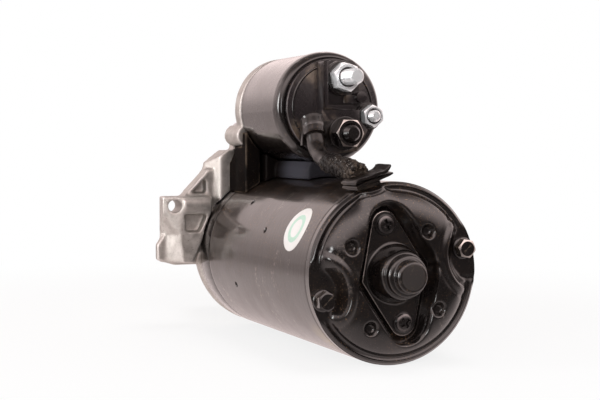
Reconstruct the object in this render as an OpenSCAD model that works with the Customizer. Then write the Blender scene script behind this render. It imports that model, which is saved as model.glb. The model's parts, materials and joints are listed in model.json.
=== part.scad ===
// Starter motor with planetary reduction, solenoid, one-way clutch and pinion.
// Frame: origin on the motor axis at the mounting flange face, +Y towards the pinion, +Z up to the solenoid.

/* [Motor case] */
// Outer diameter of the yoke
yoke_d = 84; // [80:1:96]
// Wall of the yoke
yoke_wall = 2.5; // [2:0.25:3.5]
// Length of the yoke
yoke_len = 137; // [134:1:160]
// Length of the gear case band that shows in front of the yoke
band_len = 14.5; // [13:0.5:20]
// Length of the drive housing's round part behind the flange face
ring_len = 10.5; // [10:0.5:14]
// Thickness of the magnets
magnet_t = 7; // [5:0.5:8]
// Air gap between magnets and armature
air_gap = 1; // [0.6:0.1:1.5]

/* [Rear cover] */
// Thickness of the cover's rim
rim_t = 4; // [3:0.5:6]
// Sheet thickness of the cover
cover_wall = 2; // [1.5:0.25:2.5]
// Height of the pressed dome over the rim
dome_h = 7; // [5:0.5:10]
// Diameter of the dome at its foot
dome_d = 73; // [70:1:75]
// Radius of the pockets round the through bolts
pocket_r = 14.5; // [12:0.5:16]
// Distance between the two end cap screws
cap_screw_gap = 46; // [40:1:50]
// Tilt of the end cap to the left of upright
cap_tilt = 11.7; // [0:0.1:30]
// Half width of the diamond end cap
cap_half_w = 16.3; // [14:0.1:18]
// Length of the bush cup on the end cap
cup_len = 20; // [17:0.5:26]

/* [Through bolts] */
// Diameter of the through bolts
bolt_d = 5; // [4:0.5:6]
// Width across flats of their heads
bolt_af = 8; // [7:0.5:10]
// Angle of the first through bolt from +X
bolt_angle = 17; // [10:1:25]

/* [Armature] */
// Diameter of the armature shaft
arm_shaft_d = 12; // [10:0.5:13]
// Length of the lamination stack
stack_len = 60; // [50:1:64]
// Diameter of the commutator
comm_d = 34; // [30:1:36]
// Length of the commutator
comm_len = 20; // [18:1:24]
// Number of armature slots and commutator bars
slot_count = 16; // [12:1:20]
// Travel of a lifted brush
brush_lift = 2.5; // [1:0.5:3]

/* [Reduction gear] */
// Module of the planetary gears
gear_m = 1.5; // [1.4:0.05:1.55]
// Width of the planets
planet_w = 12; // [10:0.5:14]
// Diameter of the planet pins
planet_pin_d = 6; // [5:0.5:7]

/* [Drive] */
// Diameter of the drive shaft under the pinion
shaft_d = 14; // [12:0.5:14.5]
// Teeth of the pinion
pinion_z = 10; // [9:1:11]
// Module of the pinion
pinion_m = 2.5; // [2.25:0.25:2.75]
// Width of the pinion
pinion_w = 18; // [14:1:22]
// Outer diameter of the clutch shell
clutch_d = 48; // [46:1:50]
// Length of the clutch shell
clutch_len = 20; // [18:1:24]

/* [Housing] */
// Diameter of the pilot in front of the flange
pilot_d = 82; // [80:1:83]
// Length of the pilot
pilot_len = 5; // [4:0.5:6]
// Circle diameter of the two mounting holes
mount_pcd = 124.5; // [122:0.5:130]
// Angle of the left mounting hole from +X
mount_angle = 156.3; // [155:0.1:159]
// Diameter of the mounting holes, before tapping
mount_hole_d = 6.8; // [6:0.1:8]
// Depth of the mounting ears
ear_depth = 15; // [13:0.5:17]

/* [Lever] */
// Height of the lever pin over the motor axis
lever_z = 49; // [48.5:0.5:50]
// Diameter of the lever pin
lever_pin_d = 8; // [6:0.5:8.5]
// Swing of the lever
lever_swing = 15; // [10:1:15]

/* [Solenoid] */
// Height of the solenoid axis over the motor axis
sol_z = 77.4; // [77:0.2:79]
// Outer diameter of the solenoid can
can_d = 56.2; // [54:0.2:57.6]
// Wall of the can
can_wall = 2; // [1.5:0.25:2.5]
// Length of the can from the flange to the crimped edge
can_len = 52.4; // [50:0.2:60]
// Length of the crimped collar
collar_len = 8.4; // [6:0.2:10]
// Thickness of the solenoid flange
flange_t = 4; // [3:0.5:5]
// Diameter of the plunger
plunger_d = 20; // [16:0.5:22]

/* [Terminals] */
// Diameter of the battery and motor studs
stud_d = 8; // [6:1:8]
// Diameter of the trigger stud
trigger_d = 6; // [4:1:6]
// Width across flats of the large nuts
nut_af = 13; // [12:0.5:14]
// Width across flats of the trigger nut
trigger_af = 10; // [8:0.5:11]
// Diameter of the motor lead
lead_d = 9; // [7:0.5:10]

/* [Hidden] */
$fn = 64;

// Clearances
run_fit = 0.05;
slide_fit = 0.1;
loose = 0.3;
eps = 0.01;

// Radii round the motor axis
yoke_r = yoke_d / 2;
bore_r = yoke_r - yoke_wall;
bolt_r = bolt_d / 2;
bolt_hole_r = bolt_r + 0.25;
bolt_circle_r = bore_r - bolt_r - loose;
magnet_in_r = bore_r - magnet_t;
stack_r = magnet_in_r - air_gap;
arm_shaft_r = arm_shaft_d / 2;
comm_r = comm_d / 2;
cavity_r = bolt_circle_r - bolt_hole_r - 1;

// Stations along the motor axis, from the flange face to the rear
y_case = -ring_len;
y_band = y_case - band_len;
y_yoke = y_band - yoke_len;
y_rim = y_yoke - rim_t;
y_dome = y_rim - dome_h;

// Reduction gear, with teeth that let three planets stand evenly round the sun
sun_z = 11;
planet_z = 13;
ring_z = sun_z + 2 * planet_z;
gear_pa = 25;
gear_add = 0.8;
gear_ded = 1.1;
gear_backlash = 0.12;
planet_count = 3;
planet_orbit_r = gear_m * (sun_z + planet_z) / 2;
ring_gear_r = gear_m * (ring_z / 2 + gear_ded) + 2.1;
plate_t = 5.5;
plate_front = y_case - 3.3;
plate_rear = plate_front - plate_t;
carrier_t = 4.5;
gear_gap = 0.5;
carrier_front = plate_rear - gear_gap;
carrier_rear = carrier_front - carrier_t;
carrier_r = planet_orbit_r + planet_pin_d / 2 + 4;
planet_front = carrier_rear - gear_gap;
planet_rear = planet_front - planet_w;
ring_gear_rear = planet_rear - 2;
partition_t = 2.5;
partition_rear = ring_gear_rear - partition_t;
tip_r = 4;
tip_len = 8;
journal_r = shaft_d / 2 + 2;

// Armature along the axis
comm_rear = y_yoke + 6;
comm_front = comm_rear + comm_len;
stack_rear = comm_front + 14;
stack_front = stack_rear + stack_len;
end_turn = 8;
magnet_over = 4;
bush_len = 8.5;
bush_rear = y_rim;
bush_t = 2.5;
clip_t = 1.2;
arm_rear = bush_rear - 5;
floor_y = y_rim + 1.5;

// Brush gear
plate_seat = y_yoke + 1.5;
brush_plate_t = 3;
box_y = plate_seat + brush_plate_t;
brush_w = 7;
brush_l = 11;
brush_h = 12;
box_wall = 1.3;
box_end_r = comm_r + brush_h + brush_lift + 1.5;
brush_angle = bolt_angle + 45;

// Lever and clutch, worked out from the gear case's front face
fork_y = y_case + 3.5;
fork_arm_y = 12.5;
fork_arm_t = 5;
fork_pin_r = 4;
fork_z = 2;
lever_y = fork_y - fork_arm_y;
lever_hub_r = lever_pin_d / 2 + 2;
lever_tip_y = 2;
lever_tip_r = 3.5;
fork_in = 19;
fork_out = 22.6;
groove_w = 2 * fork_pin_r + 0.8;
collar_w = 1.8;
guide_r = fork_in - 1.2;
fork_reach = norm([fork_arm_y, lever_z - fork_z]);
fork_rest = atan2(fork_arm_y, lever_z - fork_z);
clutch_travel = fork_reach * sin(fork_rest + lever_swing) - fork_arm_y;
shaft_r = shaft_d / 2;
spline_r = shaft_r + 1.2;
spline_w = 3;
spline_count = 6;
sleeve_r = 12.4;
sleeve_rear = fork_y - groove_w / 2 - collar_w;
shell_rear = fork_y + groove_w / 2 + collar_w + 0.4;
shell_front = shell_rear + clutch_len;
shell_wall = 4;
hub_r = 13.4;
roller_r = 3;
roller_count = 6;
roller_orbit_r = hub_r + slide_fit + roller_r + slide_fit;
pinion_pitch_r = pinion_m * pinion_z / 2;
pinion_tip_r = pinion_pitch_r + 1.08 * pinion_m;
pinion_rear = shell_front + 2;
pinion_front = pinion_rear + pinion_w;
stop_y = pinion_front + clutch_travel + 0.8;
stop_w = 3.5;
nose_bush_rear = stop_y + stop_w + 1.5;
nose_bush_len = 8;
nose_end = nose_bush_rear + nose_bush_len + 1;

// Solenoid along its axis
sol_front = lever_y - 17.5;
can_front = sol_front - flange_t;
can_rear = can_front - can_len;
can_r = can_d / 2;
collar_r = can_r + 0.4;
can_bore_r = can_r - can_wall;
lobe_orbit_r = can_r - 0.5;
lobe_r = 5.6;
sol_screw_r = 3;
sol_head_r = 5;
screw_orbit_r = can_r - sol_head_r - 1.1;
plunger_r = plunger_d / 2;
guide_tube_t = 1;
lip_t = 1;
core_plate_rear = can_rear + 11.4;
core_plate_t = 4;
core_front = core_plate_rear + core_plate_t + 5.5;
core_r = plunger_r;
bobbin_t = 2;
lever_reach = norm([lever_tip_y, sol_z - lever_z]);
lever_lean = atan2(lever_tip_y, sol_z - lever_z);
stroke = lever_reach * (sin(lever_lean) - sin(lever_lean - lever_swing));
plunger_rear = core_front + stroke + 1.5;
hook_half = 7.6;
hook_y = lever_y + lever_tip_y;
rod_r = 3;
bridge_y = core_plate_rear - 4;
cap_face = can_rear - 3.3;
cap_wall = 3.1;
cap_side_t = 2.5;
cap_flange_r = can_bore_r - slide_fit;
cap_body_r = cap_flange_r - 1.6;

// Terminals, as [x, z] on the solenoid cap, with the height of the face that each nut sits on
battery_at = [2.5, sol_z + 14.6];
motor_at = [2, sol_z - 13.1];
trigger_at = [19, sol_z - 4.4];
battery_face = cap_face - 5.3;
motor_face = cap_face - 7.3;
trigger_face = cap_face - 2;
battery_end = can_rear - 27.6;
motor_end = can_rear - 24.6;
trigger_end = can_rear - 14.6;
washer_t = 1.4;
lug_t = 2.5;
nut_h = 6.5;
trigger_nut_h = 5;

// Lead from the motor terminal to the grommet: straight at both ends, sagging between them
grommet_angle = 107;
lead_in = [motor_at[0] - 17, motor_face - 1.8, motor_at[1] + 6.9];
lead_down = [-0.5, -4.1, -7];
lead_out = lead_in + lead_down;
lead_end = [-13.6, y_rim + 8, yoke_r + 3.6];
lead_back = [-0.8, 7, 1.2];
run_from = lead_out + lead_down;
run_to = lead_end + 2 * lead_back;
run_sag = [[0.23, -0.6, -2.1], [0.5, -0.8, -2.2], [0.77, -0.6, -0.9]];
lead_run = [for (k = run_sag) run_from + k[0] * (run_to - run_from) + [k[1], 0, k[2]]];
lead_route = concat([lead_in, lead_out, run_from], lead_run, [run_to, lead_end + lead_back, lead_end]);

// Solids along the motor axis from flat shapes drawn in X and Z, or from profiles of radius and station
module slab(y0, y1) translate([0, y1, 0]) rotate([90, 0, 0]) linear_extrude(y1 - y0) children();
module turned() rotate([-90, 0, 0]) rotate_extrude() children();
module rod(r, y0, y1) slab(y0, y1) circle(r);
module tube(r_out, r_in, y0, y1) slab(y0, y1) difference() { circle(r_out); circle(r_in); }
module polar(r, a) translate([r * cos(a), 0, r * sin(a)]) children();
// A shape drawn in Y and Z, equally wide on both sides of the middle plane, and round bars along lines
module across(half) translate([-half, 0, 0]) rotate([90, 0, 90]) linear_extrude(2 * half) children();
module bar(p, q, r) {
    way = q - p;
    translate(p) rotate([0, acos(way[2] / norm(way)), atan2(way[1], way[0])]) cylinder(r = r, h = norm(way));
}
module cross_rod(r, x0, x1) translate([x0, 0, 0]) rotate([0, 90, 0]) cylinder(r = r, h = x1 - x0);
module on_solenoid() translate([0, 0, sol_z]) children();
module terminal(at) translate([at[0], 0, at[1]]) children();
module hex2d(af) circle(d = af / cos(30), $fn = 6);

// Two rounds and the straight band that touches both
module link2d(p, rp, q, rq) {
    way = atan2(q[1] - p[1], q[0] - p[0]);
    lean = acos((rp - rq) / norm(q - p));
    function side(c, r, s) = c + r * [cos(way + s * lean), sin(way + s * lean)];
    translate(p) circle(rp);
    translate(q) circle(rq);
    polygon([side(p, rp, 1), side(p, rp, -1), side(q, rq, -1), side(q, rq, 1)]);
}

// Involute teeth: half angle of a tooth at radius r, then the outline of a whole gear
function involute(a) = tan(a) * 180 / PI - a;
function half_tooth(r, z, m, pa, play) =
    let (base = m * z / 2 * cos(pa), at = max(r, base))
    90 / z + play / (m * z) * 360 / PI + involute(pa) - involute(acos(base / at));
function gear_points(z, m, pa, root, tip, play) =
    let (steps = [root, (root + m * z / 2) / 2, m * z / 2, tip])
    [for (i = [0 : z - 1], side = [-1, 1], k = [0 : 3])
        let (r = steps[side < 0 ? k : 3 - k], a = 360 * i / z + side * half_tooth(r, z, m, pa, play))
        [r * cos(a), r * sin(a)]];
module gear2d(z, m, pa, add, ded, play)
    polygon(gear_points(z, m, pa, m * (z / 2 - ded), m * (z / 2 + add), play));

// Angles that put planet k in mesh with the sun and the ring
sun_turn = 90;
function planet_at(k) = 90 + 360 * k / planet_count;
function planet_turn(k) =
    planet_at(k) + 180 + ((planet_at(k) - sun_turn) * sun_z / 360 - 0.5) * 360 / planet_z;
ring_turn = planet_at(0) - ((planet_at(0) - planet_turn(0)) * planet_z / 360 - 0.5) * 360 / ring_z;

// A tube swept along points, each ring square to the run there
function unit(v) = v / norm(v);
function heading(path, i) = unit(path[min(i + 1, len(path) - 1)] - path[max(i - 1, 0)]);
function ring_at(path, i, r, sides) =
    let (t = heading(path, i), up = abs(t[2]) < 0.9 ? [0, 0, 1] : [0, 1, 0],
         u = unit(cross(t, up)), v = cross(u, t))
    [for (k = [0 : sides - 1]) path[i] + r * (u * cos(360 * k / sides) + v * sin(360 * k / sides))];
module swept(path, r, sides) {
    last = len(path) - 1;
    points = [for (i = [0 : last]) each ring_at(path, i, r, sides)];
    side_faces = [for (i = [0 : last - 1], k = [0 : sides - 1], half = [0, 1])
        let (a = i * sides + k, b = i * sides + (k + 1) % sides)
        half == 0 ? [a, b, b + sides] : [a, b + sides, a + sides]];
    caps = [[for (k = [sides - 1 : -1 : 0]) k], [for (k = [0 : sides - 1]) last * sides + k]];
    polyhedron(points, concat(caps, side_faces));
}
// A smooth run through hand-chosen points, with some steps between each two
function blend(p, i, t) =
    let (n = len(p) - 1, a = p[max(i - 1, 0)], b = p[i], c = p[min(i + 1, n)], d = p[min(i + 2, n)])
    0.5 * (2 * b + (c - a) * t + (2 * a - 5 * b + 4 * c - d) * t * t + (3 * b - a - 3 * c + d) * t * t * t);
function smooth(p, steps) =
    concat([for (i = [0 : len(p) - 2], s = [0 : steps - 1]) blend(p, i, s / steps)], [p[len(p) - 1]]);
// A coil spring along +Z
function coil_path(r, length, turns) =
    [for (i = [0 : 8 * turns]) [r * cos(45 * i), r * sin(45 * i), length * i / (8 * turns)]];

// Motor case
stakes = [[-38.6, 136.5], [-38.9, 198.6], [-77.3, 156.2]];
stake_r = 2.2;
stake_depth = 0.7;
notch_w = 12;
notch_len = 8;
module notch(depth) rotate([0, 90 - grommet_angle, 0])
    translate([-notch_w / 2, y_rim - eps, bore_r - depth])
        cube([notch_w, rim_t + notch_len, yoke_wall + 2 * depth]);

module yoke() color("#1b1a1b") difference() {
    tube(yoke_r, bore_r, y_yoke, y_band);
    notch(2);
    for (s = stakes) rotate([0, -s[1], 0])
        translate([yoke_r + stake_r - stake_depth, y_band + s[0], 0]) sphere(stake_r);
}

magnet_count = 6;
magnet_span = 46;
module magnets() color("#3b3b3e") for (k = [0 : magnet_count - 1])
    rotate([0, -(bolt_angle + 180 / magnet_count + 360 * k / magnet_count), 0])
        slab(stack_rear - magnet_over, stack_front + magnet_over) intersection() {
            difference() { circle(bore_r - run_fit); circle(magnet_in_r); }
            polygon([[0, 0], 2 * bore_r * [cos(magnet_span / 2), sin(magnet_span / 2)],
                     2 * bore_r * [1, 0], 2 * bore_r * [cos(magnet_span / 2), -sin(magnet_span / 2)]]);
        }

// Rear cover: outlines of the end cap, its recess and the bolt pockets, grown by a margin
cap_end_r = 6.4;
cap_corner_r = 1.5;
cup_r = 12;
module diamond2d(grow) rotate(cap_tilt) {
    tall = cap_screw_gap / 2;
    wide = cap_half_w - cap_corner_r;
    for (x = [-wide, wide], z = [-tall, tall]) link2d([0, z], cap_end_r + grow, [x, 0], cap_corner_r + grow);
    polygon([[0, tall], [wide, 0], [0, -tall], [-wide, 0]]);
}
pocket_at = yoke_r + 1;
pocket_turn = -13;
pocket_gap = 0.8;
module pockets2d(grow) for (a = [0, 180]) rotate(bolt_angle + a) {
    rotate(pocket_turn) translate([pocket_at, 0]) circle(pocket_r + grow);
    translate([bolt_circle_r, 0]) circle(bolt_flange_r + pocket_gap + grow);
}
module bolt_places() for (a = [0, 180]) polar(bolt_circle_r, bolt_angle + a) children();
dome_draft = 2.5;
recess_margin = 2.6;
dent_at = 26.5;
dent_r = 3.6;
module rear_cover() color("#1b1a1b") difference() {
    union() {
        rod(yoke_r, y_rim, y_yoke);
        tube(bore_r - slide_fit, bore_r - 3, y_yoke, plate_seat);
        turned() polygon([[0, y_rim + 1], [dome_d / 2, y_rim + 1], [dome_d / 2, y_rim],
                          [dome_d / 2 - dome_draft, y_dome], [0, y_dome]]);
        rod(arm_shaft_r + bush_t + cover_wall, floor_y, bush_rear + bush_len);
    }
    slab(y_dome + cover_wall, y_yoke + eps) difference() {
        circle(dome_d / 2 - dome_draft - cover_wall);
        diamond2d(recess_margin + cover_wall);
        pockets2d(cover_wall);
    }
    tube(bore_r - 3, arm_shaft_r + bush_t + cover_wall, floor_y + cover_wall, y_yoke + eps);
    slab(y_dome - 1, floor_y) diamond2d(recess_margin);
    slab(y_dome - 1, y_rim) pockets2d(0);
    rod(arm_shaft_r + bush_t, y_dome - 1, y_yoke + bush_len);
    bolt_places() rod(bolt_hole_r, y_dome, plate_seat + 1);
    cap_screw_places() rod(cap_screw_r, y_dome, y_yoke);
    for (a = [45, 135, 225, 315]) translate([0, y_dome - dent_r / 3, 0]) polar(dent_at, 90 + cap_tilt + a)
        sphere(dent_r);
    notch(2);
}

cap_plate_t = 1.5;
cap_screw_r = 2;
module cap_screw_places() for (a = [0, 180]) polar(cap_screw_gap / 2, 90 + cap_tilt + a) children();
cup_wall = 1.2;
cup_end = y_rim - cup_len;
cup_step = [[0, 0], [5.5, 0], [7, 0.5], [7.6, 2], [7.6, 6.6], [9.4, 7], [10, 7.8], [10, 10.4], [11, 11],
            [11.8, 12], [cup_r, 13.5]];
module end_cap() color("#1e1d1e") difference() {
    union() {
        slab(floor_y - cap_plate_t, floor_y) diamond2d(0);
        turned() polygon(concat([for (p = cup_step) [p[0], cup_end + p[1]]],
                                [[cup_r, floor_y], [0, floor_y]]));
    }
    turned() polygon([[0, cup_end + cup_wall], [6.2, cup_end + cup_wall], [6.2, cup_end + 8],
                      [8.8, cup_end + 8.4], [8.8, cup_end + 12], [cup_r - cup_wall, cup_end + 14],
                      [cup_r - cup_wall, floor_y + 1], [0, floor_y + 1]]);
    cap_screw_places() rod(cap_screw_r, floor_y - cap_plate_t - 1, floor_y + 1);
}

cap_head_r = 4.2;
cap_head_h = 2.6;
module cap_screws() color("#232223") cap_screw_places() {
    seat = floor_y - cap_plate_t;
    difference() {
        union() {
            rod(cap_screw_r, seat - 1, floor_y + cover_wall);
            turned() polygon([[0, seat], [cap_head_r + 0.9, seat], [cap_head_r + 0.9, seat - 0.7],
                              [cap_head_r, seat - 0.7], [cap_head_r, seat - 1.5],
                              [cap_head_r - 1.2, seat - cap_head_h], [0, seat - cap_head_h]]);
        }
        for (a = [0, 90]) rotate([0, a + 20, 0]) translate([-2.2, seat - cap_head_h - 1, -0.45])
            cube([4.4, 2.4, 0.9]);
    }
}

bolt_head_h = 4.5;
bolt_flange_r = 5.2;
bolt_flange_t = 1.2;
module through_bolts() color("#2b2929") bolt_places() {
    rod(bolt_r, y_rim - 1, -2.5);
    rod(bolt_flange_r, y_rim - bolt_flange_t, y_rim);
    slab(y_rim - bolt_flange_t - bolt_head_h, y_rim - bolt_flange_t) hex2d(bolt_af);
}

module rear_bush() color("#a8753a")
    tube(arm_shaft_r + bush_t, arm_shaft_r + run_fit, bush_rear, bush_rear + bush_len);

// Brush gear
module brush_places() for (k = [0 : 3]) brush_place(k) children();
module brush_place(k) rotate([0, -(brush_angle + 90 * k), 0]) children();
module brush_plate() color("#5b4634") difference() {
    tube(bore_r - slide_fit, comm_r + 2, plate_seat, box_y);
    bolt_places() rod(bolt_hole_r, plate_seat - 1, box_y + 1);
    notch(12);
}
module brush_boxes() color("#b08d4a") brush_places() difference() {
    translate([comm_r + 1.5, box_y, -brush_w / 2 - box_wall - slide_fit])
        cube([box_end_r + box_wall - comm_r - 1.5, brush_l + 2 * slide_fit + box_wall,
              brush_w + 2 * box_wall + 2 * slide_fit]);
    translate([0, box_y - eps, -brush_w / 2 - slide_fit])
        cube([box_end_r, brush_l + 2 * slide_fit + eps, brush_w + 2 * slide_fit]);
}
module brush(k) color("#3a3532") brush_place(k)
    translate([comm_r + slide_fit, box_y + slide_fit, -brush_w / 2]) cube([brush_h, brush_l, brush_w]);
module brush_1() brush(0);
module brush_2() brush(1);
module brush_3() brush(2);
module brush_4() brush(3);
brush_wire_r = 0.35;
brush_coil_r = 2.4;
module brush_springs() color("#9a9a9c") brush_places() {
    room = box_end_r - comm_r - slide_fit - brush_h;
    span = room - 2 * brush_wire_r - 2 * slide_fit;
    translate([box_end_r - room + brush_wire_r + slide_fit, box_y + slide_fit + brush_l / 2, 0])
        rotate([0, 90, 0]) swept(coil_path(brush_coil_r, span, 3), brush_wire_r, 6);
}

// Armature
module armature_shaft() color("#8d8f93") difference() {
    union() {
        rod(arm_shaft_r, arm_rear, planet_rear);
        rod(tip_r, planet_rear, planet_front + tip_len);
        slab(planet_rear - eps, planet_front) rotate(sun_turn)
            gear2d(sun_z, gear_m, gear_pa, gear_add, gear_ded, -gear_backlash);
    }
    tube(arm_shaft_r + 1, arm_shaft_r - 1, bush_rear - clip_t - 2 * slide_fit, bush_rear - slide_fit);
}
slot_depth = 12;
slot_w = 4.6;
module lamination_stack() color("#55565a") slab(stack_rear, stack_front) difference() {
    circle(stack_r);
    circle(arm_shaft_r);
    for (k = [0 : slot_count - 1]) rotate(360 * k / slot_count)
        translate([stack_r - slot_depth, -slot_w / 2]) square([slot_depth + 1, slot_w]);
}
module armature_winding() color("#b3673a") {
    outer = stack_r - 1.5;
    inner = stack_r - slot_depth + loose;
    for (k = [0 : slot_count - 1]) rotate([0, -360 * k / slot_count, 0])
        translate([inner, stack_rear - 0.5, -slot_w / 2 + loose / 2])
            cube([outer - inner - 0.5, stack_len + 1, slot_w - loose]);
    for (y = [stack_rear - end_turn, stack_front + 0.2]) turned()
        polygon([[inner - 3, y + 1], [inner, y], [outer - 2, y], [outer, y + 2], [outer, y + end_turn - 0.2],
                 [inner - 3, y + end_turn - 0.2]]);
}
comm_slit = 0.6;
module commutator() color("#c07a45") slab(comm_rear, comm_front) difference() {
    circle(comm_r);
    circle(arm_shaft_r);
    for (k = [0 : slot_count - 1]) rotate(360 * (k + 0.5) / slot_count)
        translate([comm_r - 1, -comm_slit / 2]) square([2, comm_slit]);
}
module shaft_clip() color("#6f7073") slab(bush_rear - clip_t - slide_fit, bush_rear - 2 * slide_fit)
    difference() {
        circle(arm_shaft_r + 2);
        circle(arm_shaft_r - 1 + slide_fit);
        translate([-2, 0]) square([4, arm_shaft_r + 3]);
    }

// Reduction gear
module gear_case() color("#262425") difference() {
    union() {
        rod(yoke_r, y_band, y_case);
        rod(bore_r - slide_fit, partition_rear, y_band);
    }
    rod(ring_gear_r, partition_rear - 1, y_case + 1);
    bolt_places() rod(bolt_hole_r, partition_rear - 1, y_case + 1);
}
module gear_partition() color("#8d8f93")
    tube(ring_gear_r, gear_m * (sun_z / 2 + gear_add) + loose, partition_rear, ring_gear_rear);
module ring_gear() color("#4a4038") slab(ring_gear_rear, carrier_rear) difference() {
    circle(ring_gear_r);
    rotate(ring_turn + 180 / ring_z) gear2d(ring_z, gear_m, gear_pa, gear_ded, gear_add, gear_backlash);
}
module planet(k) color("#77797d") polar(planet_orbit_r, planet_at(k)) slab(planet_rear, planet_front)
    difference() {
        rotate(planet_turn(k)) gear2d(planet_z, gear_m, gear_pa, gear_add, gear_ded, -gear_backlash);
        circle(planet_pin_d / 2 + run_fit);
    }
module planet_1() planet(0);
module planet_2() planet(1);
module planet_3() planet(2);
module planet_pins() color("#9c9ea2") for (k = [0 : planet_count - 1]) polar(planet_orbit_r, planet_at(k))
    rod(planet_pin_d / 2, planet_rear, carrier_front);
module drive_shaft() color("#85878b") difference() {
    union() {
        rod(carrier_r, carrier_rear, carrier_front);
        rod(journal_r, carrier_front, plate_front + 0.2);
        rod(shaft_r, plate_front, nose_end - 1.5);
        slab(plate_front, shell_rear + shell_wall + 6) for (k = [0 : spline_count - 1])
            rotate(360 * k / spline_count) translate([0, -spline_w / 2]) square([spline_r, spline_w]);
    }
    rod(tip_r + run_fit, carrier_rear - 1, planet_front + tip_len + 0.5);
    for (k = [0 : planet_count - 1]) polar(planet_orbit_r, planet_at(k))
        rod(planet_pin_d / 2, carrier_rear - 1, carrier_front + 1);
    tube(shaft_r + 1, shaft_r - 1, ring_groove, ring_groove + ring_groove_w);
}
inter_bush_t = 2;
module intermediate_plate() color("#7d7f83")
    tube(ring_gear_r, journal_r + inter_bush_t, plate_rear, plate_front);
module intermediate_bush() color("#a8753a")
    tube(journal_r + inter_bush_t, journal_r + run_fit, plate_rear, plate_front);

// Drive end
nose_bush_t = 2.5;
module nose_bush() color("#a8753a")
    tube(shaft_r + nose_bush_t, shaft_r + run_fit, nose_bush_rear, nose_bush_rear + nose_bush_len);
module sleeve_bore2d() {
    circle(shaft_r + run_fit);
    for (k = [0 : spline_count - 1]) rotate(360 * k / spline_count)
        translate([0, -spline_w / 2 - slide_fit]) square([spline_r + slide_fit, spline_w + 2 * slide_fit]);
}
roller_len = clutch_len - shell_wall - 3;
module roller_places() for (k = [0 : roller_count - 1]) rotate([0, 360 * k / roller_count, 0]) children();
module clutch_shell() color("#6a6c70") difference() {
    union() {
        rod(sleeve_r, sleeve_rear, shell_rear + 1);
        turned() polygon([[0, shell_rear], [clutch_d / 2 - 1.5, shell_rear],
                          [clutch_d / 2, shell_rear + 1.5], [clutch_d / 2, shell_front - 1],
                          [clutch_d / 2 - 1, shell_front], [0, shell_front]]);
    }
    slab(sleeve_rear - 1, shell_rear + shell_wall + 1) sleeve_bore2d();
    rod(spline_r + loose, shell_rear + shell_wall, shell_front + 1);
    rod(hub_r + slide_fit, shell_rear + shell_wall + eps, shell_front + 1);
    roller_places() slab(shell_rear + shell_wall, shell_rear + shell_wall + roller_len + 0.5) {
        translate([roller_orbit_r, 0]) circle(roller_r + 0.2);
        translate([roller_orbit_r - roller_r, 0]) square([roller_r + 1, 2 * roller_r]);
    }
}
module clutch_rollers() color("#b6b8bb") roller_places() translate([roller_orbit_r, 0, 0])
    rod(roller_r, shell_rear + shell_wall + slide_fit, shell_rear + shell_wall + roller_len);
module guide_ring() color("#40352b") turned() polygon([
    [sleeve_r, sleeve_rear], [guide_r, sleeve_rear], [guide_r, sleeve_rear + collar_w],
    [sleeve_r + 1, sleeve_rear + collar_w], [sleeve_r + 1, fork_y + groove_w / 2],
    [guide_r, fork_y + groove_w / 2], [guide_r, fork_y + groove_w / 2 + collar_w],
    [sleeve_r, fork_y + groove_w / 2 + collar_w]]);
module pinion() color("#8f9195") difference() {
    union() {
        rod(hub_r, shell_rear + shell_wall + loose, pinion_rear);
        slab(pinion_rear - eps, pinion_front)
            gear2d(pinion_z, pinion_m, 20, 1.08, 0.85, -gear_backlash);
    }
    rod(shaft_r + run_fit, shell_rear, pinion_front + 1);
    rod(spline_r + loose, shell_rear, shell_rear + shell_wall + 8);
}
ring_groove_w = 1.6;
ring_groove = stop_y + stop_w / 2 - ring_groove_w / 2;
module stop_collar() color("#75777b") difference() {
    rod(shaft_r + 4, stop_y, stop_y + stop_w);
    rod(shaft_r, stop_y - 1, stop_y + stop_w + 1);
    tube(shaft_r + 0.8 + slide_fit, shaft_r - 1, ring_groove - slide_fit,
         ring_groove + ring_groove_w + slide_fit);
}
module snap_ring() color("#55565a") slab(ring_groove + slide_fit, ring_groove + ring_groove_w - slide_fit)
    difference() {
        circle(shaft_r + 0.8);
        circle(shaft_r - 1 + slide_fit);
        translate([-1.5, 0]) square([3, shaft_r + 2]);
    }

// Fork lever, drawn round its pin in Y and Z at rest
module lever_plate(x0, x1)
    translate([x0, lever_y, lever_z]) rotate([90, 0, 90]) linear_extrude(x1 - x0) children();
bar_top = -2;
bar_bottom = -11;
hub_half = 8;
module fork_lever() color("#8a7a5c") {
    near = fork_arm_y - fork_arm_t / 2;
    far = fork_arm_y + fork_arm_t / 2;
    difference() {
        union() {
            lever_plate(-hub_half, hub_half) circle(lever_hub_r);
            lever_plate(-6, 6) polygon([[0, lever_hub_r - 0.5], [far, bar_top], [far, bar_bottom],
                                        [near, bar_bottom], [near, -lever_hub_r], [0, 0.5 - lever_hub_r]]);
            lever_plate(-4, 4) {
                link2d([0, 0], lever_hub_r - 1.5, [lever_tip_y, sol_z - lever_z], 2.4);
                translate([lever_tip_y, sol_z - lever_z]) circle(lever_tip_r);
            }
            lever_plate(-fork_out, fork_out) translate([near, bar_bottom])
                square([fork_arm_t, bar_top - bar_bottom]);
            for (s = [-1, 1]) mirror([s < 0 ? 1 : 0, 0, 0]) {
                lever_plate(fork_in, fork_out) {
                    translate([near, fork_z - lever_z]) square([fork_arm_t, bar_top - fork_z + lever_z]);
                    translate([fork_arm_y, fork_z - lever_z]) circle(fork_pin_r + 0.5);
                }
                translate([0, fork_y, fork_z]) cross_rod(fork_pin_r, sleeve_r + 1.6, fork_in + 1);
            }
        }
        translate([0, lever_y, lever_z]) cross_rod(lever_pin_d / 2 + run_fit, -hub_half - 1, hub_half + 1);
    }
}
pin_half = 13;
module lever_pin() color("#9c9ea2")
    translate([0, lever_y, lever_z]) cross_rod(lever_pin_d / 2, -pin_half, pin_half);

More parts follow.
